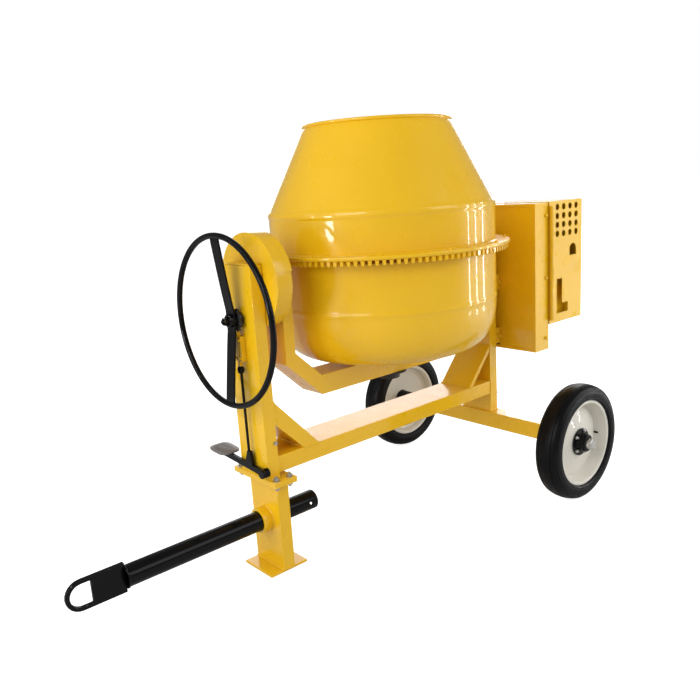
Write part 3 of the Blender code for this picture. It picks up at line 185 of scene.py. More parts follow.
class MixerStudio(bpy.types.PropertyGroup):
    """Lamps of the studio."""

    key: bpy.props.FloatProperty(
        name="Key", description="Power of the lamp on the left", default=66.0, min=0)
    fill: bpy.props.FloatProperty(
        name="Fill", description="Power of the lamp on the right", default=42.0, min=0)
    back: bpy.props.FloatProperty(
        name="Back", description="Power of the lamp behind", default=64.0, min=0)
    strip: bpy.props.FloatProperty(
        name="Strips", description="Power of a strip per square metre", default=84.0, min=0)
    sky: bpy.props.FloatProperty(
        name="Sky", description="Strength of the white surround", default=0.54, min=0)
    gloss: bpy.props.FloatProperty(
        name="Gloss", description="Surround as shiny paint sees it", default=0.24, min=0)


def paints():
    """The colours that the panel holds."""
    return bpy.context.scene.mixer_paint


def details():
    """The detail sizes that the panel holds."""
    return bpy.context.scene.mixer_detail


# Finishes

PRIMER = (0.20, 0.10, 0.045)
BARE_METAL = (0.30, 0.29, 0.28)
BRIGHT_STEEL = (0.62, 0.61, 0.59)
DARK_IRON = (0.055, 0.054, 0.056)
RUST = (0.16, 0.07, 0.03)
# Red-brown of the grease band behind the ring gear's teeth. It is dark enough to also paint the shade that
# falls in the gaps between the teeth
RED_GREASE_AND_GAP_SHADE = (0.30, 0.085, 0.008)
DRY_DUST = (0.55, 0.50, 0.42)
ROAD_DUST = (0.14, 0.13, 0.12)


def node_of(tree, kind, **settings):
    """A shader node with its properties set."""
    made = tree.nodes.new(kind)
    for name, value in settings.items():
        setattr(made, name, value)
    return made


def noise(tree, scale, detail=3.0, roughness=0.5):
    """A noise texture on the object's own coordinates."""
    coords = node_of(tree, "ShaderNodeTexCoord")
    made = node_of(tree, "ShaderNodeTexNoise")
    made.inputs["Scale"].default_value = scale
    made.inputs["Detail"].default_value = detail
    made.inputs["Roughness"].default_value = roughness
    tree.links.new(coords.outputs["Object"], made.inputs["Vector"])
    return made.outputs["Fac"]


def spread(tree, value, from_low, from_high, to_low, to_high):
    """A value moved from one range to another."""
    made = node_of(tree, "ShaderNodeMapRange")
    made.inputs["From Min"].default_value = from_low
    made.inputs["From Max"].default_value = from_high
    made.inputs["To Min"].default_value = to_low
    made.inputs["To Max"].default_value = to_high
    tree.links.new(value, made.inputs["Value"])
    return made.outputs["Result"]


def blend_colour(tree, share, first, second):
    """Two colours mixed by a share. Either may be a colour or another node's output."""
    made = node_of(tree, "ShaderNodeMix", data_type="RGBA")
    tree.links.new(share, made.inputs["Factor"])
    for socket, colour in (("A", first), ("B", second)):
        target = [item for item in made.inputs if item.name == socket and item.type == "RGBA"][0]
        if isinstance(colour, bpy.types.NodeSocket):
            tree.links.new(colour, target)
        else:
            target.default_value = (*colour, 1.0)
    return [item for item in made.outputs if item.type == "RGBA"][0]


def bumps(tree, layers):
    """Bump nodes in a chain, each a height, a strength and a distance."""
    normal = None
    for height, strength, distance in layers:
        made = node_of(tree, "ShaderNodeBump")
        made.inputs["Strength"].default_value = strength
        made.inputs["Distance"].default_value = distance
        tree.links.new(height, made.inputs["Height"])
        if normal:
            tree.links.new(normal, made.inputs["Normal"])
        normal = made.outputs["Normal"]
    return normal


def new_finish(name):
    """A fresh material with its node tree and its Principled shader."""
    made = bpy.data.materials.new(name)
    made.use_nodes = True
    tree = made.node_tree
    return made, tree, tree.nodes["Principled BSDF"]


def shade(colour, factor):
    """A colour made darker or lighter."""
    return tuple(min(1.0, part * factor) for part in colour)


def worn_edges(tree, share):
    """Chips in the paint of rounded edges, broken up by noise."""
    chip_scale = 55.0
    edge = node_of(tree, "ShaderNodeAttribute", attribute_name=EDGE_LAYER)
    rough = spread(tree, noise(tree, chip_scale, 6.0, 0.7), 0.60, 0.68, 0.0, share)
    product = node_of(tree, "ShaderNodeMath", operation="MULTIPLY")
    tree.links.new(edge.outputs["Fac"], product.inputs[0])
    tree.links.new(rough, product.inputs[1])
    return product.outputs["Value"]


def enamel(name, colour, gloss, peel, dust, chip, shine, coat):
    """Sprayed enamel: orange peel, slow changes of shade, a little dust and chips on the edges."""
    patch_scale, dust_scale, gloss_scale, peel_scale, wave_scale = 2.6, 11.0, 17.0, 240.0, 5.0
    gloss_spread, chip_share, peel_depth, wave_strength, wave_depth = 0.14, 0.4, 0.0006, 0.10, 0.003
    made, tree, shader = new_finish(name)
    patches = spread(tree, noise(tree, patch_scale, 4.0), 0.3, 0.7, 0.0, 1.0)
    base = blend_colour(tree, patches, shade(colour, 0.95), shade(colour, 1.04))
    grime = spread(tree, noise(tree, dust_scale, 8.0, 0.65), 0.60, 0.85, 0.0, dust)
    base = blend_colour(tree, grime, base, shade(DRY_DUST, 0.8))
    base = blend_colour(tree, worn_edges(tree, chip_share), base, chip)
    tree.links.new(base, shader.inputs["Base Color"])
    rough = spread(tree, noise(tree, gloss_scale, 5.0), 0.3, 0.75, gloss, gloss + gloss_spread)
    tree.links.new(rough, shader.inputs["Roughness"])
    orange_peel = (noise(tree, peel_scale, 2.0), peel, peel_depth)
    waves = (noise(tree, wave_scale, 2.0), wave_strength, wave_depth)
    tree.links.new(bumps(tree, [orange_peel, waves]), shader.inputs["Normal"])
    shader.inputs["Specular IOR Level"].default_value = shine
    shader.inputs["Coat Weight"].default_value = coat
    shader.inputs["Coat Roughness"].default_value = 0.045
    return made


def metal(name, colour, rough, grain):
    """Bare metal with a fine grain and slightly uneven shine."""
    patch_scale, gloss_scale, gloss_spread, grain_strength, grain_depth = 30.0, 80.0, 0.18, 0.12, 0.0006
    made, tree, shader = new_finish(name)
    patches = spread(tree, noise(tree, patch_scale, 6.0, 0.6), 0.3, 0.7, 0.0, 1.0)
    base = blend_colour(tree, patches, shade(colour, 0.8), shade(colour, 1.1))
    tree.links.new(base, shader.inputs["Base Color"])
    uneven = spread(tree, noise(tree, gloss_scale, 4.0), 0.3, 0.7, rough, rough + gloss_spread)
    tree.links.new(uneven, shader.inputs["Roughness"])
    fine = (noise(tree, grain, 3.0), grain_strength, grain_depth)
    tree.links.new(bumps(tree, [fine]), shader.inputs["Normal"])
    shader.inputs["Metallic"].default_value = 1.0
    return made


def iron(name):
    """Oiled cast iron: a dark grainy skin with a trace of rust."""
    rust_scale, gloss_scale, grain_scale, grain_strength, grain_depth = 26.0, 60.0, 330.0, 0.35, 0.001
    made, tree, shader = new_finish(name)
    rust = spread(tree, noise(tree, rust_scale, 8.0, 0.7), 0.55, 0.75, 0.0, 0.55)
    base = blend_colour(tree, rust, DARK_IRON, RUST)
    tree.links.new(base, shader.inputs["Base Color"])
    uneven = spread(tree, noise(tree, gloss_scale, 4.0), 0.3, 0.7, 0.38, 0.62)
    tree.links.new(uneven, shader.inputs["Roughness"])
    cast_skin = (noise(tree, grain_scale, 4.0), grain_strength, grain_depth)
    tree.links.new(bumps(tree, [cast_skin]), shader.inputs["Normal"])
    shader.inputs["Metallic"].default_value = 0.7
    return made


def rubber(name, colour, rough, dust):
    """Moulded rubber: fine grain with pale dust in patches."""
    dust_scale, gloss_scale, gloss_spread = 14.0, 40.0, 0.16
    grain_scale, grain_strength, grain_depth = 520.0, 0.22, 0.0006
    made, tree, shader = new_finish(name)
    patches = spread(tree, noise(tree, dust_scale, 7.0, 0.65), 0.45, 0.8, 0.0, dust)
    tree.links.new(blend_colour(tree, patches, colour, ROAD_DUST), shader.inputs["Base Color"])
    uneven = spread(tree, noise(tree, gloss_scale, 4.0), 0.3, 0.7, rough, rough + gloss_spread)
    tree.links.new(uneven, shader.inputs["Roughness"])
    grain = (noise(tree, grain_scale, 3.0), grain_strength, grain_depth)
    tree.links.new(bumps(tree, [grain]), shader.inputs["Normal"])
    shader.inputs["Specular IOR Level"].default_value = 0.15
    return made


FINISHES = {}


def make_finishes():
    """Every finish of the mixer, by the name of its slot."""
    colours = paints()
    # Each enamel: slot, colour, gloss, peel, dust, what a chip bares, shine and clear coat
    enamels = (
        ("yellow_paint", colours.yellow, 0.24, 0.04, 0.03, PRIMER, 0.35, 0.62),
        ("black_paint", colours.black, 0.28, 0.06, 0.005, BARE_METAL, 0.04, 0.3),
        ("cream_paint", colours.cream, 0.34, 0.06, 0.10, PRIMER, 0.3, 0.38),
        ("grey_paint", colours.grey, 0.46, 0.20, 0.12, BARE_METAL, 0.1, 0.38),
    )
    for name, colour, *values in enamels:
        FINISHES[name] = enamel(name + "_finish", tuple(colour), *values)
    # Red-brown grease whose dark colour also paints the shade in the ring gear's tooth gaps
    FINISHES["grease_and_gap_shade"] = rubber("grease_and_gap_shade_finish", RED_GREASE_AND_GAP_SHADE, rough=0.45, dust=0.05)
    FINISHES["bright_steel"] = metal("bright_steel_finish", BRIGHT_STEEL, rough=0.22, grain=420.0)
    FINISHES["cast_iron"] = iron("cast_iron_finish")
    FINISHES["tyre_rubber"] = rubber("tyre_rubber_finish", tuple(colours.rubber), rough=0.30, dust=0.03)
    FINISHES["belt_rubber"] = rubber("belt_rubber_finish", tuple(colours.rubber), rough=0.55, dust=0.10)


# Making of pieces

def piece(name, work, finish, body, nodes=(), angle=38, weighted=True):
    """A finished piece from a bmesh. It rides on a body and stands for the frame nodes that it's given."""
    bmesh.ops.recalc_face_normals(work, faces=work.faces)
    mesh = bpy.data.meshes.new(name)
    work.to_mesh(mesh)
    work.free()
    if "custom_normal" in mesh.attributes:
        mesh.attributes.remove(mesh.attributes["custom_normal"])
    mesh.materials.clear()
    mesh.materials.append(FINISHES[finish])
    mesh.shade_smooth()
    mesh.set_sharp_from_angle(angle=math.radians(angle))
    obj = bpy.data.objects.new(name, mesh)
    bpy.context.scene.collection.objects.link(obj)
    if weighted:
        modifier = obj.modifiers.new("even_shading", "WEIGHTED_NORMAL")
        modifier.keep_sharp = True
    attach(obj, body)
    if nodes:
        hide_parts(*nodes)
    return obj


def round_edges(work, width, segments=3, angle=32):
    """Round every edge of a bmesh that is sharper than an angle."""
    layer = work.faces.layers.float.get(EDGE_LAYER) or work.faces.layers.float.new(EDGE_LAYER)
    limit = math.radians(angle)
    sharp = [edge for edge in work.edges if edge.is_manifold and edge.calc_face_angle() > limit]
    made = bmesh.ops.bevel(work, geom=sharp, offset=width, offset_type="OFFSET", segments=segments,
                           profile=0.5, affect="EDGES", clamp_overlap=True)
    for face in made["faces"]:
        face[layer] = 1.0


def softened(node, width, finish, segments=3):
    """A frame node again, as one clean surface with its edges rounded."""
    flat_angle = math.radians(0.5)
    work = bmesh.new()
    work.from_mesh(NODES[node].data)
    bmesh.ops.remove_doubles(work, verts=work.verts, dist=JOIN_DISTANCE)
    bmesh.ops.dissolve_limit(work, angle_limit=flat_angle, verts=work.verts, edges=work.edges)
    round_edges(work, width, segments)
    return piece(node + "_finished", work, finish, BODY_OF[node], (node,))


def fillet(profile, radius, closed=False, segments=5):
    """A profile with its corners turned to arcs of a radius, or less where a side is short."""
    straight = math.radians(3)
    side_share = 0.48
    points = [Vector(point) for point in profile]
    count = len(points)
    made = []
    for index, point in enumerate(points):
        if not closed and index in (0, count - 1):
            made.append(tuple(point))
            continue
        before = points[index - 1] - point
        after = points[(index + 1) % count] - point
        turn = math.pi - before.angle(after)
        if turn < straight:
            made.append(tuple(point))
            continue
        reach = min(radius * math.tan(turn / 2), before.length * side_share, after.length * side_share)
        start = point + before.normalized() * reach
        end = point + after.normalized() * reach
        for step in range(segments + 1):
            share = step / segments
            spot = start * (1 - share) ** 2 + point * 2 * share * (1 - share) + end * share ** 2
            made.append(tuple(spot))
    return made


def spun(work, profile, place, steps, closed):
    """Spin a profile of radius and height about local Z, into a bmesh."""
    corners = [work.verts.new((max(radius, 0.0), 0, height)) for radius, height in profile]
    edges = [work.edges.new(pair) for pair in zip(corners, corners[1:])]
    if closed:
        edges.append(work.edges.new((corners[-1], corners[0])))
    made = bmesh.ops.spin(work, geom=corners + edges, axis=(0, 0, 1), cent=(0, 0, 0),
                          dvec=(0, 0, 0), angle=2 * math.pi, steps=steps, use_merge=True)
    linked = set(corners)
    for vertex in made["geom_last"]:
        if isinstance(vertex, bmesh.types.BMVert):
            linked.add(vertex)
    grown = list(linked)
    while grown:
        vertex = grown.pop()
        for edge in vertex.link_edges:
            other = edge.other_vert(vertex)
            if other not in linked:
                linked.add(other)
                grown.append(other)
    bmesh.ops.transform(work, matrix=place, verts=list(linked))


def turned(name, profile, place, finish, body, nodes=(), steps=64, closed=True, angle=38):
    """A turned piece from a profile of radius and height."""
    work = bmesh.new()
    spun(work, profile, place, steps, closed)
    bmesh.ops.remove_doubles(work, verts=work.verts, dist=JOIN_DISTANCE / 2)
    return piece(name, work, finish, body, nodes, angle, weighted=False)


def outline_into(work, outlines, thickness, place):
    """Add a flat plate of an outline and its holes to a bmesh."""
    curve = bpy.data.curves.new("outline", "CURVE")
    curve.dimensions = "2D"
    curve.fill_mode = "BOTH"
    curve.extrude = thickness / 2
    for outline in outlines:
        spline = curve.splines.new("POLY")
        spline.points.add(len(outline) - 1)
        spline.use_cyclic_u = True
        for point, (x, y) in zip(spline.points, outline):
            point.co = (x, y, 0, 1)
    holder = bpy.data.objects.new("outline", curve)
    bpy.context.scene.collection.objects.link(holder)
    graph = bpy.context.evaluated_depsgraph_get()
    mesh = bpy.data.meshes.new_from_object(holder.evaluated_get(graph))
    bpy.data.objects.remove(holder)
    mesh.transform(place)
    before = len(work.verts)
    work.from_mesh(mesh)
    work.verts.ensure_lookup_table()
    bmesh.ops.remove_doubles(work, verts=work.verts[before:], dist=JOIN_DISTANCE)
    bpy.data.meshes.remove(mesh)


def box_into(work, start, end):
    """Add a box between two corners to a bmesh."""
    start, end = Vector(start), Vector(end)
    place = Matrix.Translation((start + end) / 2) @ Matrix.Diagonal((*(end - start), 1.0))
    bmesh.ops.create_cube(work, size=1.0, matrix=place)


def circle(radius, sides=32, x=0.0, y=0.0):
    """The corners of a round outline."""
    step = 2 * math.pi / sides
    return [(x + radius * math.cos(step * index), y + radius * math.sin(step * index))
            for index in range(sides)]


def sweep_into(work, path, radius, closed, sides=8, ripple=0.0):
    """Add a round bar along a path to a bmesh. A ripple gives it the scales of a weld."""
    ripple_step = 2.1
    points = [Vector(point) for point in path]
    count = len(points)
    normal = None
    rings = []
    for index, point in enumerate(points):
        ahead = points[(index + 1) % count] if closed or index < count - 1 else point
        behind = points[index - 1] if closed or index else point
        tangent = (ahead - behind).normalized()
        if normal is None:
            normal = tangent.orthogonal()
        normal = (normal - tangent * normal.dot(tangent)).normalized()
        side = tangent.cross(normal)
        size = radius * (1 + ripple * math.sin(index * ripple_step))
        ring = []
        for corner in range(sides):
            angle = 2 * math.pi * corner / sides
            spot = point + normal * size * math.cos(angle) + side * size * math.sin(angle)
            ring.append(work.verts.new(spot))
        rings.append(ring)
    skin(work, rings)
    if closed:
        last = rings[-1][0].co
        turn = min(range(sides), key=lambda offset: (rings[0][offset].co - last).length)
        for corner in range(sides):
            follow = (corner + 1) % sides
            work.faces.new((rings[-1][corner], rings[-1][follow],
                            rings[0][(follow + turn) % sides], rings[0][(corner + turn) % sides]))
    else:
        work.faces.new(rings[0])
        work.faces.new(rings[-1])


def resampled(path, spacing, closed):
    """Points at an even spacing along straight runs between corners."""
    corners = [Vector(point) for point in path]
    runs = list(zip(corners, corners[1:] + corners[:1])) if closed else list(zip(corners, corners[1:]))
    points = []
    for start, end in runs:
        count = max(1, round((end - start).length / spacing))
        for step in range(count):
            points.append(start.lerp(end, step / count))
    if not closed:
        points.append(corners[-1])
    return points


def skin(work, rings):
    """Join each ring of corners to the next with quads."""
    for first, second in zip(rings, rings[1:]):
        for corner in range(len(first)):
            follow = (corner + 1) % len(first)
            work.faces.new((first[corner], first[follow], second[follow], second[corner]))


def weld_beads(name, paths, body, finish, bead, spacing):
    """Weld beads along closed paths, painted over."""
    work = bmesh.new()
    for path in paths:
        sweep_into(work, resampled(path, spacing, True), bead, True, sides=7, ripple=0.13)
    return piece(name, work, finish, body, angle=80, weighted=False)


def rectangle(axis, value, first, second):
    """The corners of a rectangle that stands across X or Z at a value, between two corners."""
    (a0, b0), (a1, b1) = first, second
    corners = ((a0, b0), (a1, b0), (a1, b1), (a0, b1))
    if axis == "x":
        return [(value, a, b) for a, b in corners]
    return [(a, b, value) for a, b in corners]


def bolt_into(work, place, across, washer=True, stub=0.0):
    """Add a hexagon head with its washer to a bmesh. Local Z points out of the surface."""
    corner = across / math.sqrt(3)
    disc, thickness = across * 0.72, 0.0018
    thread, tip = across * 0.29, across * 0.22
    base = 0.0
    parts = []
    if washer:
        parts.append((24, disc, disc, thickness))
    parts.append((6, corner, corner, across * 0.46))
    parts.append((6, corner, corner * 0.82, across * 0.10))
    if stub:
        parts.append((16, thread, thread, stub))
        parts.append((16, thread, tip, across * 0.06))
    for sides, start, end, height in parts:
        spot = place @ Matrix.Translation((0, 0, base + height / 2))
        bmesh.ops.create_cone(work, cap_ends=True, segments=sides, radius1=start, radius2=end,
                              depth=height, matrix=spot)
        base += height


def bolts(name, places, across, body, finish="bright_steel", nodes=(), stub=0.0):
    """A group of hexagon bolts, each given as a place and the way that it faces."""
    work = bmesh.new()
    for spot, facing in places:
        bolt_into(work, Matrix.Translation(spot) @ FACING[facing], across, stub=stub)
    return piece(name, work, finish, body, nodes, angle=30, weighted=False)


def bolt_circle(count, radius, height):
    """Places for bolts that face up, evenly round the drum's axis."""
    turns = [math.pi * (number + 0.5) / (count / 2) for number in range(count)]
    return [((DRUM_X + radius * math.cos(turn), radius * math.sin(turn), height), "+Z") for turn in turns]


# Operators

class MIXER_OT_frame_tubes(bpy.types.Operator):
    """Round the edges of the frame's box tubes, plates and brackets, and close their open tops"""

    bl_idname = "mixer.frame_tubes"
    bl_label = "Frame Tubes"

    def execute(self, context):
        tube_round, plate_round, arm = details().tube_round, 0.0012, 0.036
        for node in ("front_column", "main_beam", "front_brace", "rear_brace", "rear_column", "axle_beam",
                     "support_leg", "yoke_frame", "case_bracket_lower", "case_bracket_upper"):
            softened(node, tube_round, "yellow_paint")
        for node in ("foot_plate", "leg_flange", "column_flange", "lock_guide"):
            softened(node, plate_round, "yellow_paint")
        for node in ("front_column", "rear_column"):
            self.caps(node + "_cap", node, [(low(node).x, high(node).x)])
        start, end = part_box("yoke_frame")
        self.caps("yoke_arm_caps", "yoke_frame", [(start.x, start.x + arm), (end.x - arm, end.x)])
        return {"FINISHED"}

    def caps(self, name, node, spans):
        """Caps on the open tops of a node's tubes, each over a span of X."""
        gap, height, rounding = 0.0002, 0.004, 0.0014
        start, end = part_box(node)
        work = bmesh.new()
        for near, far in spans:
            box_into(work, (near, start.y, end.z + gap), (far, end.y, end.z + height))
        round_edges(work, rounding)
        piece(name, work, "yellow_paint", BODY_OF[node])


class MIXER_OT_welds(bpy.types.Operator):
    """Run weld beads along the joints between the frame's members"""

    bl_idname = "mixer.welds"
    bl_label = "Weld Beads"

    def execute(self, context):
        bead = details().bead
        spacing = bead * 0.75
        tow_bead, tow_spacing = 0.0028, 0.0022
        brace_tall, brace_long, strut_tall, strut_long = 0.069, 0.058, 0.024, 0.023
        column, beam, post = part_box("front_column"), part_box("main_beam"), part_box("rear_column")
        leg, brace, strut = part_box("support_leg"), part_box("front_brace"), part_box("rear_brace")
        paths = [
            self.level(column, high("column_flange").z),
            self.level(leg, low("leg_flange").z),
            self.level(leg, high("foot_plate").z),
            self.upright(beam, beam[0].x),
            self.upright(beam, beam[1].x),
            self.level(post, high("axle_beam").z),
            rectangle("x", brace[0].x, (brace[0].y, brace[1].z - brace_tall), (brace[1].y, brace[1].z)),
            rectangle("z", BEAM_TOP, (brace[1].x - brace_long, brace[0].y), (brace[1].x, brace[1].y)),
            rectangle("x", post[0].x, (strut[0].y, strut[1].z - strut_tall), (strut[1].y, strut[1].z)),
            rectangle("z", BEAM_TOP, (strut[0].x, strut[0].y), (strut[0].x + strut_long, strut[1].y)),
            self.ring(leg[0].x, radius_of("tow_sleeve"), TOW_Z),
        ]
        yoke = self.ring(low("yoke_frame").x, radius_of("front_trunnion"), TILT_Z)
        hitch = self.ring(low("tow_tube").x, radius_of("tow_tube"), TOW_Z)
        weld_beads("frame_welds", paths, "chassis", "yellow_paint", bead, spacing)
        weld_beads("yoke_welds", [yoke], "yoke", "yellow_paint", bead, spacing)
        weld_beads("tow_hitch_weld", [hitch], "tow_bar", "black_paint", tow_bead, tow_spacing)
        return {"FINISHED"}

    def level(self, box, z):
        """The outline of a standing tube at a height."""
        return rectangle("z", z, (box[0].x, box[0].y), (box[1].x, box[1].y))

    def upright(self, box, x):
        """The outline of a lying tube at a value of X."""
        return rectangle("x", x, (box[0].y, box[0].z), (box[1].y, box[1].z))

    def ring(self, x, radius, z):
        """A round path across the X axis."""
        turns = [2 * math.pi * step / 40 for step in range(40)]
        return [(x, radius * math.cos(turn), z + radius * math.sin(turn)) for turn in turns]


class MIXER_OT_drum(bpy.types.Operator):
    """Spin the drum's bowl and cone with their seams and rolled mouth, and finish blades and spindle"""

    bl_idname = "mixer.drum"
    bl_label = "Drum"

    def execute(self, context):
        steps = details().steps
        blade_round, iron_round = 0.0018, 0.0012
        bolt_count, bolt_reach, bolt_across, bolt_gap = 6, 0.072, 0.016, 0.0006
        place = Matrix.Translation((DRUM_X, 0, 0))
        turned("drum_bowl_shell", self.bowl(), place, "yellow_paint", "drum", ("drum_bowl",), steps)
        turned("drum_cone_shell", self.cone(), place, "yellow_paint", "drum", ("drum_cone",), steps)
        for node in ("mixing_blade_1", "mixing_blade_2"):
            softened(node, blade_round, "yellow_paint")
        for node in ("drum_spindle", "spindle_housing"):
            softened(node, iron_round, "cast_iron")
        floor = high("drum_spindle").z + DRUM_WALL + bolt_gap
        bolts("drum_floor_bolts", bolt_circle(bolt_count, bolt_reach, floor), bolt_across, "drum")
        return {"FINISHED"}

    def bowl(self):
        """The bowl's closed profile: the ridge at its belly, the outside down and the inside back up."""
        radius, ridge = DRUM_RADIUS, details().ridge
        outer = [(radius, SEAM_Z), (radius, BELLY_Z + 0.013), (radius, BELLY_Z + 0.009),
                 (radius + ridge, BELLY_Z + 0.004), (radius + ridge, BELLY_Z - 0.002),
                 (radius - 0.0004, BELLY_Z - 0.008)]
        outer += [point for point in self.bowl_line(0.0) if point[1] < BELLY_Z - 0.010]
        inner = [point for point in reversed(self.bowl_line(DRUM_WALL)) if point[1] < BELLY_Z - 0.004]
        inner += [(radius - DRUM_WALL, BELLY_Z), (radius - DRUM_WALL, SEAM_Z)]
        return outer + inner

    def bowl_line(self, inset):
        """The bowl's curve from its belly to the middle of its floor, moved in by an inset."""
        flat, curve_power, steps, floor_radius = DRUM_RADIUS * 0.65, 2 / 2.45, 24, 0.110
        drop = BELLY_Z - BOWL_BOTTOM - 0.007
        points = []
        for step in range(1, steps + 1):
            turn = math.pi / 2 * step / steps
            across = math.cos(turn) ** curve_power if step < steps else 0.0
            down = math.sin(turn) ** curve_power
            points.append((flat + (DRUM_RADIUS - flat - inset * 0.7) * across - inset * 0.3 * across,
                           BELLY_Z - (drop - inset) * down))
        return points + [(floor_radius, BOWL_BOTTOM + inset), (0.0, BOWL_BOTTOM + inset)]

    def cone(self):
        """The cone's closed profile: the rolled mouth, the outside with its ridge and the inside."""
        radius, ridge, mouth, bead = DRUM_RADIUS, details().ridge, 0.2347, 0.0052
        outer_round, inner_round = 0.012, 0.010
        turns = [math.radians(180 - 18 * step) for step in range(15)]
        lip = [(mouth - 0.0012 + bead * math.cos(turn), MOUTH_Z - bead + bead * math.sin(turn))
               for turn in turns]
        start = SEAM_Z + 0.0003
        wall_top = Vector((mouth + 0.0032, MOUTH_Z - 0.0125))
        wall_foot = Vector((radius - 0.006, SHOULDER_Z + 0.013))
        # The points at 0.05 and 0.93 hold the wall's shading straight between its rounded ends
        outside = [tuple(wall_top), tuple(wall_top.lerp(wall_foot, 0.05)),
                   tuple(wall_top.lerp(wall_foot, 0.93)), tuple(wall_foot),
                   (radius + ridge * 0.4, SHOULDER_Z + 0.004), (radius + ridge, SHOULDER_Z - 0.003),
                   (radius + ridge, SHOULDER_Z - 0.009), (radius, SHOULDER_Z - 0.016),
                   (radius, SHOULDER_Z - 0.024), (radius, start)]
        inside = [(radius - DRUM_WALL, start), (radius - DRUM_WALL, SHOULDER_Z - 0.012),
                  (radius - DRUM_WALL - 0.004, SHOULDER_Z), (mouth - DRUM_WALL, MOUTH_Z - 0.014)]
        return lip + fillet(outside, outer_round) + fillet(inside, inner_round)


class MIXER_OT_ring_gear(bpy.types.Operator):
    """Spin the crown ring's flange and set its tapered teeth under it"""

    bl_idname = "mixer.ring_gear"
    bl_label = "Ring Gear"

    def execute(self, context):
        detail = details()
        start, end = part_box("ring_gear")
        flange_round, flange_steps, tooth_inset = 0.0036, detail.steps + 92, 0.0055
        bolt_count, bolt_inset, bolt_across = 12, 0.014, 0.009
        outer, inner = (end.x - start.x) / 2, DRUM_RADIUS + 0.0004
        root, bottom = start.z + 0.0145, start.z
        flange = [(outer, end.z), (outer, root + 0.003), (outer - 0.005, root), (inner + 0.005, root),
                  (inner, root + 0.003), (inner, end.z + 0.004), (inner + 0.004, end.z + 0.001),
                  (inner + 0.007, end.z)]
        work = bmesh.new()
        spun(work, fillet(flange, flange_round, True, 4), Matrix(), flange_steps, True)
        self.teeth(work, detail.ring_teeth, inner + tooth_inset, outer - tooth_inset, root, bottom)
        bmesh.ops.translate(work, verts=work.verts, vec=(DRUM_X, 0, 0))
        piece("ring_gear_finished", work, "yellow_paint", "drum", ("ring_gear",), angle=34, weighted=False)
        # A red-brown grease band behind the teeth. Its dark colour also paints the shade in the gaps
        # between them
        band = [(inner + 0.0052, root + 0.001), (inner + 0.0052, bottom + 0.002),
                (inner + 0.0004, bottom + 0.002), (inner + 0.0004, root + 0.001)]
        place = Matrix.Translation((DRUM_X, 0, 0))
        turned("ring_gear_grease_and_gap_shade", band, place, "grease_and_gap_shade", "drum", (), detail.steps)
        places = bolt_circle(bolt_count, outer - bolt_inset, end.z)
        bolts("ring_gear_bolts", places, bolt_across, "drum", "yellow_paint")
        return {"FINISHED"}

    def teeth(self, work, count, near, far, root, bottom):
        """Add the ring's teeth to a bmesh, each narrower towards its tip."""
        pitch = 2 * math.pi / count
        # Each level is a height, half a width as a share of the pitch, and an inset
        levels = ((root + 0.001, 0.29, 0.0), (root - 0.006, 0.25, 0.0),
                  (bottom + 0.0012, 0.20, 0.0), (bottom, 0.17, 0.0012))
        for tooth in range(count):
            turn = Matrix.Rotation(pitch * (tooth + 0.25), 4, "Z")
            rings = []
            for height, share, inset in levels:
                half = pitch * share
                ring = []
                for radius, angle in ((near + inset, -half), (far - inset, -half),
                                      (far - inset, half), (near + inset, half)):
                    spot = Vector((radius * math.cos(angle), radius * math.sin(angle), height))
                    ring.append(work.verts.new(turn @ spot))
                rings.append(ring)
            skin(work, rings)
            work.faces.new(rings[-1])
            work.faces.new(rings[0])


class MIXER_OT_tilting_gear(bpy.types.Operator):
    """Finish the gears, trunnions and bearings, and spin the guard's pan and the hood over it"""

    bl_idname = "mixer.tilting_gear"
    bl_label = "Tilting Gear"

    def execute(self, context):
        steps = details().steps
        iron_round, steel_round, fold_round, sheet, hood_gap = 0.0006, 0.0008, 0.0018, 0.002, 0.0007
        for node in ("tilt_gear", "tilt_pinion", "drive_pinion", "lock_disc", "handwheel_sleeve",
                     "front_trunnion_bearing", "rear_trunnion_bearing"):
            softened(node, iron_round, "cast_iron", 2)
        for node in ("front_trunnion", "rear_trunnion", "drive_shaft", "handwheel_shaft"):
            softened(node, steel_round, "bright_steel", 2)
        start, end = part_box("gear_guard")
        outer = radius_of("gear_guard")
        hole = radius_of("front_trunnion") * 0.6
        place = Matrix.Translation((0, 0, TILT_Z)) @ ALONG_X
        pan = [(outer, end.x), (outer, start.x), (hole, start.x), (hole, start.x + sheet),
               (outer - sheet, start.x + sheet), (outer - sheet, end.x)]
        pan = fillet(pan, fold_round, True, 4)
        turned("gear_guard_pan", pan, place, "yellow_paint", "chassis", ("gear_guard",), steps)
        first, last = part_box("gear_hood")
        rim = outer + hood_gap
        hood = [(rim + sheet, last.x), (rim + sheet, first.x), (hole, first.x), (hole, first.x + sheet),
                (rim, first.x + sheet), (rim, last.x)]
        work = bmesh.new()
        spun(work, fillet(hood, fold_round, True, 4), place, steps, True)
        geometry = list(work.verts) + list(work.edges) + list(work.faces)
        bmesh.ops.bisect_plane(work, geom=geometry, plane_co=(0, 0, first.z), plane_no=(0, 0, -1),
                               clear_outer=True)
        edge = [item for item in work.edges if item.is_boundary]
        bmesh.ops.holes_fill(work, edges=edge, sides=0)
        piece("gear_hood_shell", work, "yellow_paint", "chassis", ("gear_hood",), weighted=False)
        return {"FINISHED"}


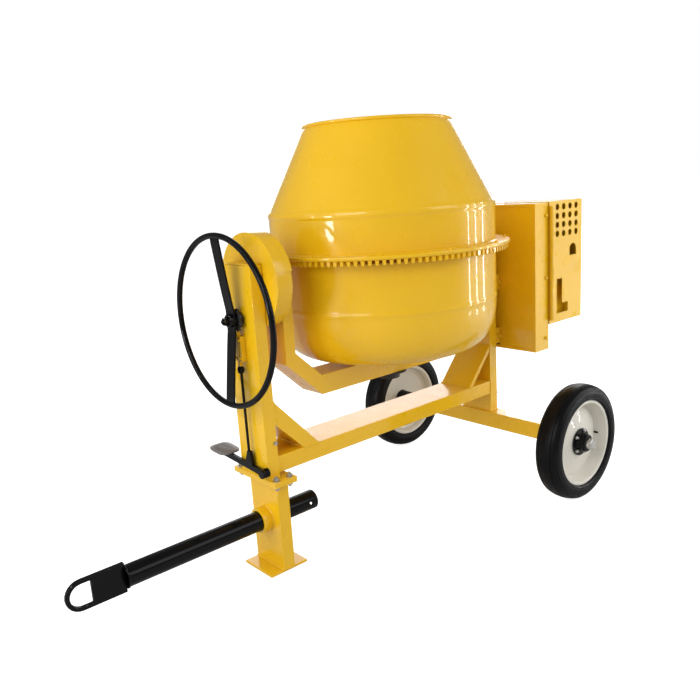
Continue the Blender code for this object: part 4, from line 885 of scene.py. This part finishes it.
class MIXER_OT_handwheel(bpy.types.Operator):
    """Spin the handwheel's rim, sweep its dished flat spokes and turn its hub"""

    bl_idname = "mixer.handwheel"
    bl_label = "Handwheel"

    def execute(self, context):
        start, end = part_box("handwheel")
        bar, hub_front, hub_back = 0.0085, 0.0125, 0.0105
        reach = radius_of("handwheel") - bar
        rim_x, hub_x = start.x + bar, end.x - hub_back
        work = bmesh.new()
        ring = [(reach + x, y) for x, y in reversed(circle(bar, 18))]
        spun(work, ring, Matrix.Translation((rim_x, 0, SHAFT_Z)) @ ALONG_X, 128, True)
        self.spokes(work, reach, rim_x, hub_x)
        hub = [(0.0, -hub_front), (0.0155, -hub_front), (0.0195, -0.0095), (0.0195, hub_back),
               (0.0, hub_back)]
        spun(work, fillet(hub, 0.0012), Matrix.Translation((hub_x, 0, SHAFT_Z)) @ ALONG_X, 48, False)
        piece("handwheel_finished", work, "black_paint", "handwheel_set", ("handwheel",), angle=42,
              weighted=False)
        spot = (hub_x - hub_front, 0, SHAFT_Z)
        bolts("handwheel_nut", [(spot, "-X")], 0.021, "handwheel_set", "black_paint", stub=0.003)
        return {"FINISHED"}

    def spokes(self, work, reach, rim_x, hub_x):
        """Add both spokes to a bmesh as one flat bar that is dished from the rim to the hub."""
        wide, deep, corner, count = 0.020, 0.003, 0.0012, 24
        hub_flat, bend_shorter, dish_power = 0.030, 0.045, 0.92
        section = [(-wide, -deep * 0.5), (-wide + corner, -deep), (wide - corner, -deep),
                   (wide, -deep * 0.5), (wide, deep * 0.5), (wide - corner, deep),
                   (-wide + corner, deep), (-wide, deep * 0.5)]
        rings = []
        for step in range(-count, count + 1):
            height = reach * (step / count)
            away = min(1.0, max(0.0, (abs(height) - hub_flat) / (reach - bend_shorter)))
            x = rim_x + (hub_x - rim_x) * (1 - away ** dish_power)
            rings.append([work.verts.new((x + depth, width, SHAFT_Z + height)) for width, depth in section])
        skin(work, rings)
        work.faces.new(rings[0])
        work.faces.new(rings[-1])


class MIXER_OT_pedal_lock(bpy.types.Operator):
    """Finish the pedal with its ribbed pad, and the lock rod with its knob and pawl"""

    bl_idname = "mixer.pedal_lock"
    bl_label = "Pedal And Lock"

    def execute(self, context):
        arm_round, pin_round, knob_round, pawl_round = 0.0016, 0.001, 0.002, 0.001
        knob_drop, knob_tall, half_pawl = 0.014, 0.022, 0.005
        screw_z, screw_y, screw_across = 0.010, 0.0055, 0.0065
        softened("pedal_arm", arm_round, "black_paint")
        softened("pedal_pin", pin_round, "black_paint", 2)
        self.pad()
        rod_low, rod_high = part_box("lock_rod")
        start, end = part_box("lock_guide")
        x = (rod_low.x + rod_high.x) / 2
        top = start.z - knob_drop
        bottom = top - knob_tall
        knob = [(0.0, top), (0.0065, top), (0.010, top - 0.006), (0.010, bottom + 0.006),
                (0.0055, bottom), (0.004, bottom - 0.002), (0.004, rod_low.z), (0.0, rod_low.z)]
        turned("lock_rod_finished", fillet(knob, knob_round), Matrix.Translation((x, 0, 0)), "black_paint",
               "lock", ("lock_rod",), 32, closed=False)
        work = bmesh.new()
        box_into(work, (x - half_pawl, -half_pawl, top - 0.002), (x + half_pawl, half_pawl, rod_high.z))
        round_edges(work, pawl_round)
        piece("lock_pawl", work, "yellow_paint", "lock")
        places = []
        for z in (start.z + screw_z, end.z - screw_z):
            for y in (start.y + screw_y, end.y - screw_y):
                places.append(((start.x, y, z), "-X"))
        bolts("lock_guide_screws", places, screw_across, "chassis", "yellow_paint")
        return {"FINISHED"}

    def pad(self):
        """The pad: a thick sheet with round corners, rounded edges and ribs for grip."""
        half_y, thickness, rounding, corner_power, corners = 0.0448, 0.0046, 0.0012, 0.55, 64
        ribs, rib_span, rib_reach, rib_radius, rib_z = 11, 0.070, 0.024, 0.0011, 0.0021
        start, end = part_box("pedal_pad")
        half_x = (end.x - start.x) / 2
        tilt = Matrix.Translation((start + end) / 2) @ Matrix.Rotation(math.radians(4.0), 4, "X")
        outline = []
        for step in range(corners):
            turn = 2 * math.pi * step / corners
            across, along = math.cos(turn), math.sin(turn)
            outline.append((half_x * math.copysign(abs(across) ** corner_power, across),
                            half_y * math.copysign(abs(along) ** corner_power, along)))
        work = bmesh.new()
        outline_into(work, [outline], thickness, tilt)
        round_edges(work, rounding)
        for number in range(ribs):
            y = rib_span * (number / (ribs - 1) - 0.5)
            reach = rib_reach * (1 - (y / 0.050) ** 4)
            path = [tilt @ Vector((-reach, y, rib_z)), tilt @ Vector((reach, y, rib_z))]
            sweep_into(work, resampled(path, 0.01, False), rib_radius, False, sides=8)
        piece("pedal_pad_finished", work, "grey_paint", "pedal", ("pedal_pad",), angle=50, weighted=False)


class MIXER_OT_tow_bar(bpy.types.Operator):
    """Finish the tow tube, its sleeve and the eye on its end"""

    bl_idname = "mixer.tow_bar"
    bl_label = "Tow Bar"

    def execute(self, context):
        softened("tow_tube", 0.0012, "black_paint")
        softened("tow_hitch", 0.0030, "black_paint", 4)
        softened("tow_sleeve", 0.0014, "yellow_paint")
        return {"FINISHED"}


class MIXER_OT_fasteners(bpy.types.Operator):
    """Put hexagon bolts and nuts in the flanges, the columns and the brackets"""

    bl_idname = "mixer.fasteners"
    bl_label = "Fasteners"

    def execute(self, context):
        top, bottom = high("column_flange").z, low("leg_flange").z
        for number in range(1, 5):
            node = f"flange_bolt_{number}"
            middle = centre(node)
            places = [((middle.x, middle.y, top), "+Z"), ((middle.x, middle.y, bottom), "-Z")]
            bolts(node + "_finished", places, 0.0150, "chassis", nodes=(node,), stub=0.003)
        places = [((COLUMN_BACK - 0.007, low("front_column").y, BEAM_TOP + 0.044), "-Y")]
        bolts("column_screw", places, 0.0085, "chassis")
        places = [((high("rear_column").x, y, BEAM_BOTTOM - 0.010), "+X") for y in (-0.053, 0.053)]
        bolts("column_bolts", places, 0.0165, "chassis", stub=0.017)
        places = []
        for node in ("case_bracket_lower", "case_bracket_upper"):
            start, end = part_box(node)
            for x in (start.x + 0.010, end.x - 0.010):
                for y, facing in ((start.y, "-Y"), (end.y, "+Y")):
                    places.append(((x, y, (start.z + end.z) / 2), facing))
        bolts("bracket_bolts", places, 0.013, "chassis", "yellow_paint")
        return {"FINISHED"}


class MIXER_OT_wheels(bpy.types.Operator):
    """Spin tyres with their grooves, pressed wheels with hubs, and the bright axle ends"""

    bl_idname = "mixer.wheels"
    bl_label = "Wheels"

    def execute(self, context):
        rim = 0.144
        half = (high("tyre_near").y - low("tyre_near").y) / 2
        for side_name, side in (("near", -1), ("far", 1)):
            spot = Matrix.Translation((AXLE_X, centre("tyre_" + side_name).y, WHEEL_Z))
            place = spot @ Matrix.Rotation(-side * math.pi / 2, 4, "X")
            self.tyre(side_name, place, rim, half)
            self.disc(side_name, place, rim, half)
            self.axle_end(side_name, side)
        return {"FINISHED"}

    def tyre(self, side_name, place, rim, half):
        """The tyre: crowned tread with two grooves, a rib on each shoulder and a beaded sidewall."""
        groove_place, crown_drop, tread_round, wall_round = 0.50, 0.0026, 0.0008, 0.004
        groove_line = ((-0.0018, 0.0), (-0.0010, 0.0024), (0.0010, 0.0024), (0.0018, 0.0))
        radius = radius_of("tyre_near")
        profile = []
        for groove in (-groove_place, groove_place):
            middle = half * groove
            for offset, depth in groove_line:
                z = middle + offset
                crown = crown_drop * (z / half / groove_place) ** 2
                profile.append((radius - crown - depth, -z))
            if groove < 0:
                for crest in (-0.30, -0.15, 0.0, 0.15, 0.30):
                    profile.append((radius - crown_drop * (crest / groove_place) ** 2, -half * crest))
        upper = [(radius - 0.0058, half * 0.72), (radius - 0.010, half * 0.83),
                 (radius - 0.0125, half * 0.84), (radius - 0.0185, half * 0.95),
                 (radius - 0.030, half * 0.995), (radius - 0.038, half), (radius - 0.040, half * 0.975),
                 (radius - 0.043, half * 0.975), (radius - 0.045, half * 0.985),
                 (rim + 0.0085, half * 0.90), (rim + 0.0065, half * 0.82)]
        lower = [(across, -z) for across, z in upper]
        seat = [(rim + 0.0066, -half * 0.74), (rim + 0.0006, -half * 0.73),
                (rim + 0.0006, half * 0.73), (rim + 0.0066, half * 0.74)]
        outline = fillet(profile, tread_round, False, 2) + fillet(lower, wall_round, False, 3)
        outline += seat + fillet(upper[::-1], wall_round, False, 3)
        turned(f"tyre_{side_name}_finished", outline, place, "tyre_rubber", side_name + "_wheel",
               ("tyre_" + side_name,), 144)

    def disc(self, side_name, place, rim, half):
        """The pressed wheel: rolled flanges, dished disc, black hub, its nuts and the valve."""
        body = side_name + "_wheel"
        lip, inner, bead, web = rim + 0.006, rim - 0.004, half - 0.0117, 0.012
        profile = [(lip, bead + 0.003), (lip, bead), (rim, bead), (rim, -bead), (lip, -bead),
                   (lip, -bead - 0.003), (inner, -bead - 0.003), (inner - 0.004, -bead + 0.006),
                   (inner - 0.008, web - 0.026), (inner - 0.022, web - 0.018), (0.066, web - 0.006),
                   (0.050, web - 0.004), (0.036, web - 0.004), (0.036, web), (0.050, web),
                   (0.066, web - 0.002), (inner - 0.024, web - 0.013), (inner - 0.012, web - 0.019),
                   (inner - 0.005, web - 0.004), (inner, bead + 0.003)]
        turned(f"wheel_{side_name}_disc", fillet(profile, 0.003, True, 4), place, "cream_paint", body,
               ("wheel_" + side_name,), 128)
        hub = [(0.0133, half), (0.0133, -half), (0.030, -half), (0.034, -half + 0.004),
               (0.034, web - 0.006), (0.0355, web - 0.006), (0.0355, web + 0.001), (0.046, web + 0.001),
               (0.048, web + 0.003), (0.048, web + 0.007), (0.034, web + 0.008), (0.031, half - 0.004),
               (0.028, half)]
        turned("hub_" + side_name, fillet(hub, 0.0012, True, 3), place, "black_paint", body, (), 64)
        nuts, nut_reach, nut_across, nut_stub = 5, 0.0405, 0.011, 0.003
        work = bmesh.new()
        for number in range(nuts):
            turn = 2 * math.pi * number / nuts
            spot = (nut_reach * math.cos(turn), nut_reach * math.sin(turn), web + 0.0065)
            bolt_into(work, place @ Matrix.Translation(spot), nut_across, washer=False, stub=nut_stub)
        piece("hub_nuts_" + side_name, work, "bright_steel", body, angle=30, weighted=False)
        work = bmesh.new()
        valve = place @ Matrix.Translation((0.118, 0, web - 0.010))
        bmesh.ops.create_cone(work, cap_ends=True, segments=16, radius1=0.0042, radius2=0.0034,
                              depth=0.022, matrix=valve)
        round_edges(work, 0.0006)
        piece("valve_" + side_name, work, "belt_rubber", body, angle=40, weighted=False)

    def axle_end(self, side_name, side):
        """The stub axle with its hexagon nut and split pin."""
        nut_across, nut_in, pin_in, half_pin, pin_radius = 0.0345, 0.0165, 0.004, 0.024, 0.0016
        node = "stub_axle_" + side_name
        softened(node, 0.0008, "bright_steel", 2)
        tip, facing = (high(node).y, "+Y") if side > 0 else (low(node).y, "-Y")
        work = bmesh.new()
        spot = Matrix.Translation((AXLE_X, tip - side * nut_in, WHEEL_Z))
        bolt_into(work, spot @ FACING[facing], nut_across, washer=False)
        piece("axle_nut_" + side_name, work, "bright_steel", "chassis", angle=30, weighted=False)
        work = bmesh.new()
        path = [(AXLE_X, tip - side * pin_in, WHEEL_Z + end) for end in (-half_pin, half_pin)]
        sweep_into(work, resampled(path, 0.006, False), pin_radius, False, sides=8)
        piece("split_pin_" + side_name, work, "bright_steel", "chassis", angle=60, weighted=False)


class MIXER_OT_belt_case(bpy.types.Operator):
    """Fold the belt case and the motor plate, and finish pulleys, belt and motor inside"""

    bl_idname = "mixer.belt_case"
    bl_label = "Belt Case"

    def execute(self, context):
        softened("belt_case", details().sheet_round, "yellow_paint")
        softened("motor_plate", 0.0014, "yellow_paint")
        softened("v_belt", 0.0008, "belt_rubber", 2)
        softened("driven_pulley", 0.0008, "cast_iron", 2)
        softened("motor_rotor", 0.0008, "cast_iron", 2)
        self.motor()
        start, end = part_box("belt_case")
        places = []
        for z in (start.z + 0.045, (start.z + end.z) / 2, end.z - 0.045):
            for y, facing in ((start.y, "-Y"), (end.y, "+Y")):
                places.append(((end.x - 0.012, y, z), facing))
        bolts("case_screws", places, 0.010, "chassis", "yellow_paint")
        # Bolts low on the case's -X face. Their dark iron finish and their place also paint the shade
        # between the rear post and the case
        places = []
        for y in (-0.045, 0.045):
            for z in (start.z + 0.020, start.z + 0.067):
                places.append(((start.x, y, z), "-X"))
        bolts("case_bolts_as_painted_shade", places, 0.013, "chassis", "cast_iron")
        inset, line_radius, line_out = 0.010, 0.0015, 0.0006
        fold = rectangle("x", start.x - line_out, (start.y + inset, start.z + inset),
                         (end.y - inset, end.z - inset))
        work = bmesh.new()
        sweep_into(work, resampled(fold, 0.012, True), line_radius, True, sides=8)
        piece("case_pressed_line", work, "yellow_paint", "chassis", angle=60, weighted=False)
        return {"FINISHED"}

    def motor(self):
        """The motor: a body with cooling ribs, a flange, an end bell and a terminal box."""
        start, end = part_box("motor_body")
        radius = radius_of("motor_body")
        middle = (start.z + end.z) / 2
        ribs, rib_depth, root_half, tip_half, bore = 36, 0.007, 0.058, 0.032, 0.030
        flange_deep, bell_deep, flange_hole = 0.014, 0.036, 0.0128
        root = radius - rib_depth
        outline = []
        for rib in range(ribs):
            turn = 2 * math.pi * rib / ribs
            for spot, offset in ((root, -root_half), (radius, -tip_half), (radius, tip_half),
                                 (root, root_half)):
                outline.append((spot * math.cos(turn + offset), spot * math.sin(turn + offset)))
        work = bmesh.new()
        ribbed = end.x - start.x - 0.050
        place = Matrix.Translation((start.x + flange_deep + ribbed / 2, 0, middle)) @ ALONG_X
        outline_into(work, [outline, circle(bore, 32)], ribbed, place)
        bell = [(0.0, end.x), (radius * 0.62, end.x), (radius * 0.93, end.x - 0.010),
                (radius * 0.97, end.x - bell_deep), (0.0, end.x - bell_deep)]
        flange = [(radius, start.x + flange_deep), (radius, start.x), (flange_hole, start.x),
                  (flange_hole, start.x + flange_deep)]
        axis = Matrix.Translation((0, 0, middle)) @ ALONG_X
        spun(work, fillet(bell, 0.004), axis, 64, False)
        spun(work, fillet(flange, 0.0015, True), axis, 64, True)
        box_into(work, (start.x + 0.040, -0.045, middle + radius - 0.010),
                 (start.x + 0.125, 0.045, middle + radius + 0.026))
        piece("motor_finished", work, "grey_paint", "chassis", ("motor_body",), angle=34, weighted=False)


class MIXER_OT_motor_hood(bpy.types.Operator):
    """Fold the hinged motor hood with its vents and slots, and add its hinge, channel and screws"""

    bl_idname = "mixer.motor_hood"
    bl_label = "Motor Hood"

    def execute(self, context):
        start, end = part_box("motor_hood")
        sheet, tuck, near_trim, far_trim = 0.002, 0.0001, 0.0004, 0.0006
        sheet_round, screw_y, screw_z, screw_across = 0.0006, 0.030, 0.060, 0.010
        near_x, far_x = start.x + near_trim, end.x - far_trim
        outline = fillet([(near_x, start.z), (end.x, start.z), (end.x, end.z), (near_x, end.z)],
                         0.004, True, 4)
        slot_x, slot_z, half_x, half_z = start.x + 0.052 + 0.034, start.z + 0.098, 0.0375, 0.065
        holes = self.vents(start.x + 0.052, end.z) + [self.corner_slot(slot_x, slot_z, half_x, half_z)]
        work = bmesh.new()
        near_side = Matrix.Translation((0, start.y + sheet / 2, 0)) @ ALONG_Y
        far_side = Matrix.Translation((0, end.y - sheet / 2, 0)) @ ALONG_Y
        outline_into(work, [outline] + holes, sheet, near_side)
        outline_into(work, [outline], sheet, far_side)
        inside_low, inside_high = start.y + sheet + tuck, end.y - sheet - tuck
        box_into(work, (end.x - sheet, inside_low, start.z + sheet), (end.x, inside_high, end.z - sheet))
        box_into(work, (near_x, inside_low, end.z - sheet), (far_x, inside_high, end.z))
        box_into(work, (near_x, inside_low, start.z), (far_x, inside_high, start.z + sheet))
        round_edges(work, sheet_round, 2, 50)
        piece("motor_hood_finished", work, "yellow_paint", "hood", ("motor_hood",), angle=45)
        self.hinge()
        self.stiffener(start.y + 0.0019, slot_x, slot_z, half_x, half_z)
        places = []
        for z in (start.z + screw_z, end.z - screw_z):
            places.append(((end.x, start.y + screw_y, z), "+X"))
            places.append(((end.x, end.y - screw_y, z), "+X"))
        bolts("hood_screws", places, screw_across, "hood", "yellow_paint")
        return {"FINISHED"}

    def vents(self, first_x, top):
        """Four columns of four round vents, and the slot with an arched top under them."""
        pitch_x, pitch_z, radius, first_down = 0.0415, 0.0325, 0.0115, 0.022
        arch, arch_down, arch_steps = 0.022, 0.184, 16
        holes = []
        for column in range(4):
            for row in range(4):
                x, z = first_x + column * pitch_x, top - first_down - row * pitch_z
                holes.append(circle(radius, 28, x, z))
        x, z = first_x + 2.5 * pitch_x, top - arch_down
        shape = [(x - arch, z - arch), (x + arch, z - arch)]
        for step in range(arch_steps + 1):
            turn = math.pi * step / arch_steps
            shape.append((x + arch * math.cos(turn), z + arch * math.sin(turn)))
        return holes + [shape]

    def corner_slot(self, middle_x, middle_z, half_x, half_z):
        """An L-shaped slot with rounded corners."""
        arm, rounding = 0.036, 0.004
        slot = [(-half_x, -half_z), (half_x, -half_z), (half_x, arm - half_z), (arm - half_x, arm - half_z),
                (arm - half_x, half_z), (-half_x, half_z)]
        return [(middle_x + x, middle_z + z) for x, z in fillet(slot, rounding, True, 3)]

    def stiffener(self, near, slot_x, slot_z, half_x, half_z):
        """A folded channel behind the corner slot, on the inside of the hood's near sheet."""
        depth, sheet, margin = 0.026, 0.0016, 0.014
        left, right = slot_x - half_x - margin, slot_x + half_x + margin
        inner = [(left + sheet, near), (left + sheet, near + depth - sheet),
                 (right - sheet, near + depth - sheet), (right - sheet, near)]
        outer = [(right, near), (right, near + depth), (left, near + depth), (left, near)]
        work = bmesh.new()
        outline_into(work, [inner + outer], 2 * (half_z + margin), Matrix.Translation((0, 0, slot_z)))
        round_edges(work, 0.0005, 2)
        piece("hood_stiffener", work, "yellow_paint", "hood", angle=45, weighted=False)

    def hinge(self):
        """The hinge barrel as knuckles on their pin, in the frame barrel's place."""
        count, gap, rounding = 9, 0.0012, 0.0008
        start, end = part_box("hood_hinge")
        place = Matrix.Translation(((start.x + end.x) / 2, (start.y + end.y) / 2, 0))
        radius = (end.x - start.x) / 2 - 0.0006
        total = end.z - start.z
        work = bmesh.new()
        for number in range(count):
            bottom = start.z + total * number / count + gap / 2
            top = start.z + total * (number + 1) / count - gap / 2
            knuckle = fillet([(0.0, top), (radius, top), (radius, bottom), (0.0, bottom)], rounding)
            spun(work, knuckle, place, 28, False)
        pin = [(0.0, end.z), (radius * 0.5, end.z), (radius * 0.5, start.z), (0.0, start.z)]
        spun(work, pin, place, 20, False)
        piece("hood_hinge_finished", work, "yellow_paint", "chassis", ("hood_hinge",), angle=40,
              weighted=False)


class MIXER_OT_studio(bpy.types.Operator):
    """Lay the pale floor, hang the soft lamps and place the camera"""

    bl_idname = "mixer.studio"
    bl_label = "Studio"

    def execute(self, context):
        self.floor()
        self.world()
        studio = context.scene.mixer_studio
        rim_share = 0.6
        aim = Vector((0.1, 0, 0.7))
        self.lamp("key_lamp", (-4.5, -1.4, 2.7), aim, (2.6, 2.6), studio.key)
        self.lamp("fill_lamp", (1.6, -4.4, 3.0), aim, (2.6, 2.6), studio.fill)
        self.lamp("back_lamp", (3.6, 4.4, 2.2), aim, (4.0, 2.4), studio.back)
        self.lamp("rim_lamp", (4.4, 2.0, 2.4), aim, (1.2, 2.0), studio.back * rim_share)
        for number, (turn, away, height, width, tall) in enumerate(STRIPS):
            angle = math.radians(turn)
            spot = Vector((DRUM_X + away * math.cos(angle), away * math.sin(angle), height))
            target = Vector((DRUM_X, 0, min(height, STRIP_AIM_TOP)))
            self.lamp(f"strip_lamp_{number + 1}", spot, target, (width, tall), studio.strip * width * tall)
        self.camera()
        context.scene.view_settings.view_transform = "Standard"
        return {"FINISHED"}

    def floor(self):
        """A wide pale floor that keeps the shadow and looks white to the camera where it's clear."""
        size, grey, glow_strength, drop = 60.0, 0.60, 0.86, 0.0005
        work = bmesh.new()
        bmesh.ops.create_grid(work, x_segments=2, y_segments=2, size=size)
        mesh = bpy.data.meshes.new("studio_floor")
        work.to_mesh(mesh)
        work.free()
        made, tree, shader = new_finish("studio_floor_finish")
        shader.inputs["Base Color"].default_value = (grey, grey, grey, 1.0)
        shader.inputs["Roughness"].default_value = 0.9
        shader.inputs["Specular IOR Level"].default_value = 0.1
        path = node_of(tree, "ShaderNodeLightPath")
        glow = node_of(tree, "ShaderNodeEmission")
        strength = node_of(tree, "ShaderNodeMath", operation="MULTIPLY")
        strength.inputs[1].default_value = glow_strength
        tree.links.new(path.outputs["Is Camera Ray"], strength.inputs[0])
        tree.links.new(strength.outputs["Value"], glow.inputs["Strength"])
        total = node_of(tree, "ShaderNodeAddShader")
        output = [node for node in tree.nodes if node.type == "OUTPUT_MATERIAL"][0]
        tree.links.new(shader.outputs["BSDF"], total.inputs[0])
        tree.links.new(glow.outputs["Emission"], total.inputs[1])
        tree.links.new(total.outputs["Shader"], output.inputs["Surface"])
        mesh.materials.append(made)
        obj = bpy.data.objects.new("studio_floor", mesh)
        obj.location.z = CAD_BOX[0][2] - drop
        bpy.context.scene.collection.objects.link(obj)

    def world(self):
        """A surround that is plain white to the camera and dimmer to everything it lights."""
        world = bpy.data.worlds.new("studio_surround")
        world.use_nodes = True
        tree = world.node_tree
        background = tree.nodes["Background"]
        background.inputs["Color"].default_value = (1.0, 1.0, 1.0, 1.0)
        studio = bpy.context.scene.mixer_studio
        path = node_of(tree, "ShaderNodeLightPath")
        level = spread(tree, path.outputs["Is Glossy Ray"], 0.0, 1.0, studio.sky, studio.gloss)
        seen = node_of(tree, "ShaderNodeMath", operation="MAXIMUM")
        tree.links.new(path.outputs["Is Camera Ray"], seen.inputs[0])
        tree.links.new(level, seen.inputs[1])
        tree.links.new(seen.outputs["Value"], background.inputs["Strength"])
        bpy.context.scene.world = world

    def lamp(self, name, place, aim, size, power):
        """A rectangular soft lamp that faces a point."""
        data = bpy.data.lights.new(name, "AREA")
        data.shape = "RECTANGLE"
        data.size, data.size_y = size
        data.energy = power
        obj = bpy.data.objects.new(name, data)
        obj.location = place
        obj.rotation_euler = (aim - Vector(place)).to_track_quat("-Z", "Y").to_euler()
        obj.visible_camera = False
        bpy.context.scene.collection.objects.link(obj)

    def camera(self):
        """A camera low at the front left corner, turned a little about its own line of sight."""
        yaw, pitch, roll = math.radians(49.22), math.radians(12.90), math.radians(-3.67)
        from_leg = Vector((-1.1212, -1.7133, 1.1236))
        data = bpy.data.cameras.new("studio_camera")
        data.lens = 36.89
        data.sensor_width = 36.0
        obj = bpy.data.objects.new("studio_camera", data)
        forward = Vector((math.cos(yaw) * math.cos(pitch), math.sin(yaw) * math.cos(pitch),
                          -math.sin(pitch)))
        level = forward.cross(Vector((0, 0, 1))).normalized()
        upright = level.cross(forward)
        right = level * math.cos(roll) + upright * math.sin(roll)
        up = right.cross(forward)
        turn = Matrix((right, up, -forward)).transposed().to_4x4()
        leg = Vector((low("support_leg").x + high("support_leg").x, 0, 0)) / 2
        obj.matrix_world = Matrix.Translation(leg + from_leg) @ turn
        bpy.context.scene.collection.objects.link(obj)
        bpy.context.scene.camera = obj


class MIXER_PT_finish(bpy.types.Panel):
    """The mixer's sizes and colours, and a button for each group of pieces"""

    bl_idname = "MIXER_PT_finish"
    bl_label = "Concrete Mixer"
    bl_space_type = "VIEW_3D"
    bl_region_type = "UI"
    bl_category = "Mixer"

    def draw(self, context):
        layout = self.layout
        for group in (context.scene.mixer_paint, context.scene.mixer_detail, context.scene.mixer_studio):
            box = layout.box()
            for name in group.bl_rna.properties.keys():
                if name not in ("rna_type", "name"):
                    box.prop(group, name)
        for operator in OPERATORS:
            layout.operator(operator.bl_idname)


OPERATORS = (
    MIXER_OT_frame_tubes, MIXER_OT_welds, MIXER_OT_drum, MIXER_OT_ring_gear, MIXER_OT_tilting_gear,
    MIXER_OT_handwheel, MIXER_OT_pedal_lock, MIXER_OT_tow_bar, MIXER_OT_fasteners, MIXER_OT_wheels,
    MIXER_OT_belt_case, MIXER_OT_motor_hood, MIXER_OT_studio,
)
GROUPS = (("mixer_paint", MixerPaint), ("mixer_detail", MixerDetail), ("mixer_studio", MixerStudio))


def register():
    for name, group in GROUPS:
        bpy.utils.register_class(group)
        setattr(bpy.types.Scene, name, bpy.props.PointerProperty(type=group))
    for operator in OPERATORS:
        bpy.utils.register_class(operator)
    bpy.utils.register_class(MIXER_PT_finish)


def unregister():
    bpy.utils.unregister_class(MIXER_PT_finish)
    for operator in reversed(OPERATORS):
        bpy.utils.unregister_class(operator)
    for name, group in reversed(GROUPS):
        delattr(bpy.types.Scene, name)
        bpy.utils.unregister_class(group)


def main():
    """Register the classes, make the finishes and build every piece in order."""
    register()
    make_finishes()
    for operator in OPERATORS:
        group, name = operator.bl_idname.split(".")
        getattr(getattr(bpy.ops, group), name)()


if __name__ == "__main__":
    main()
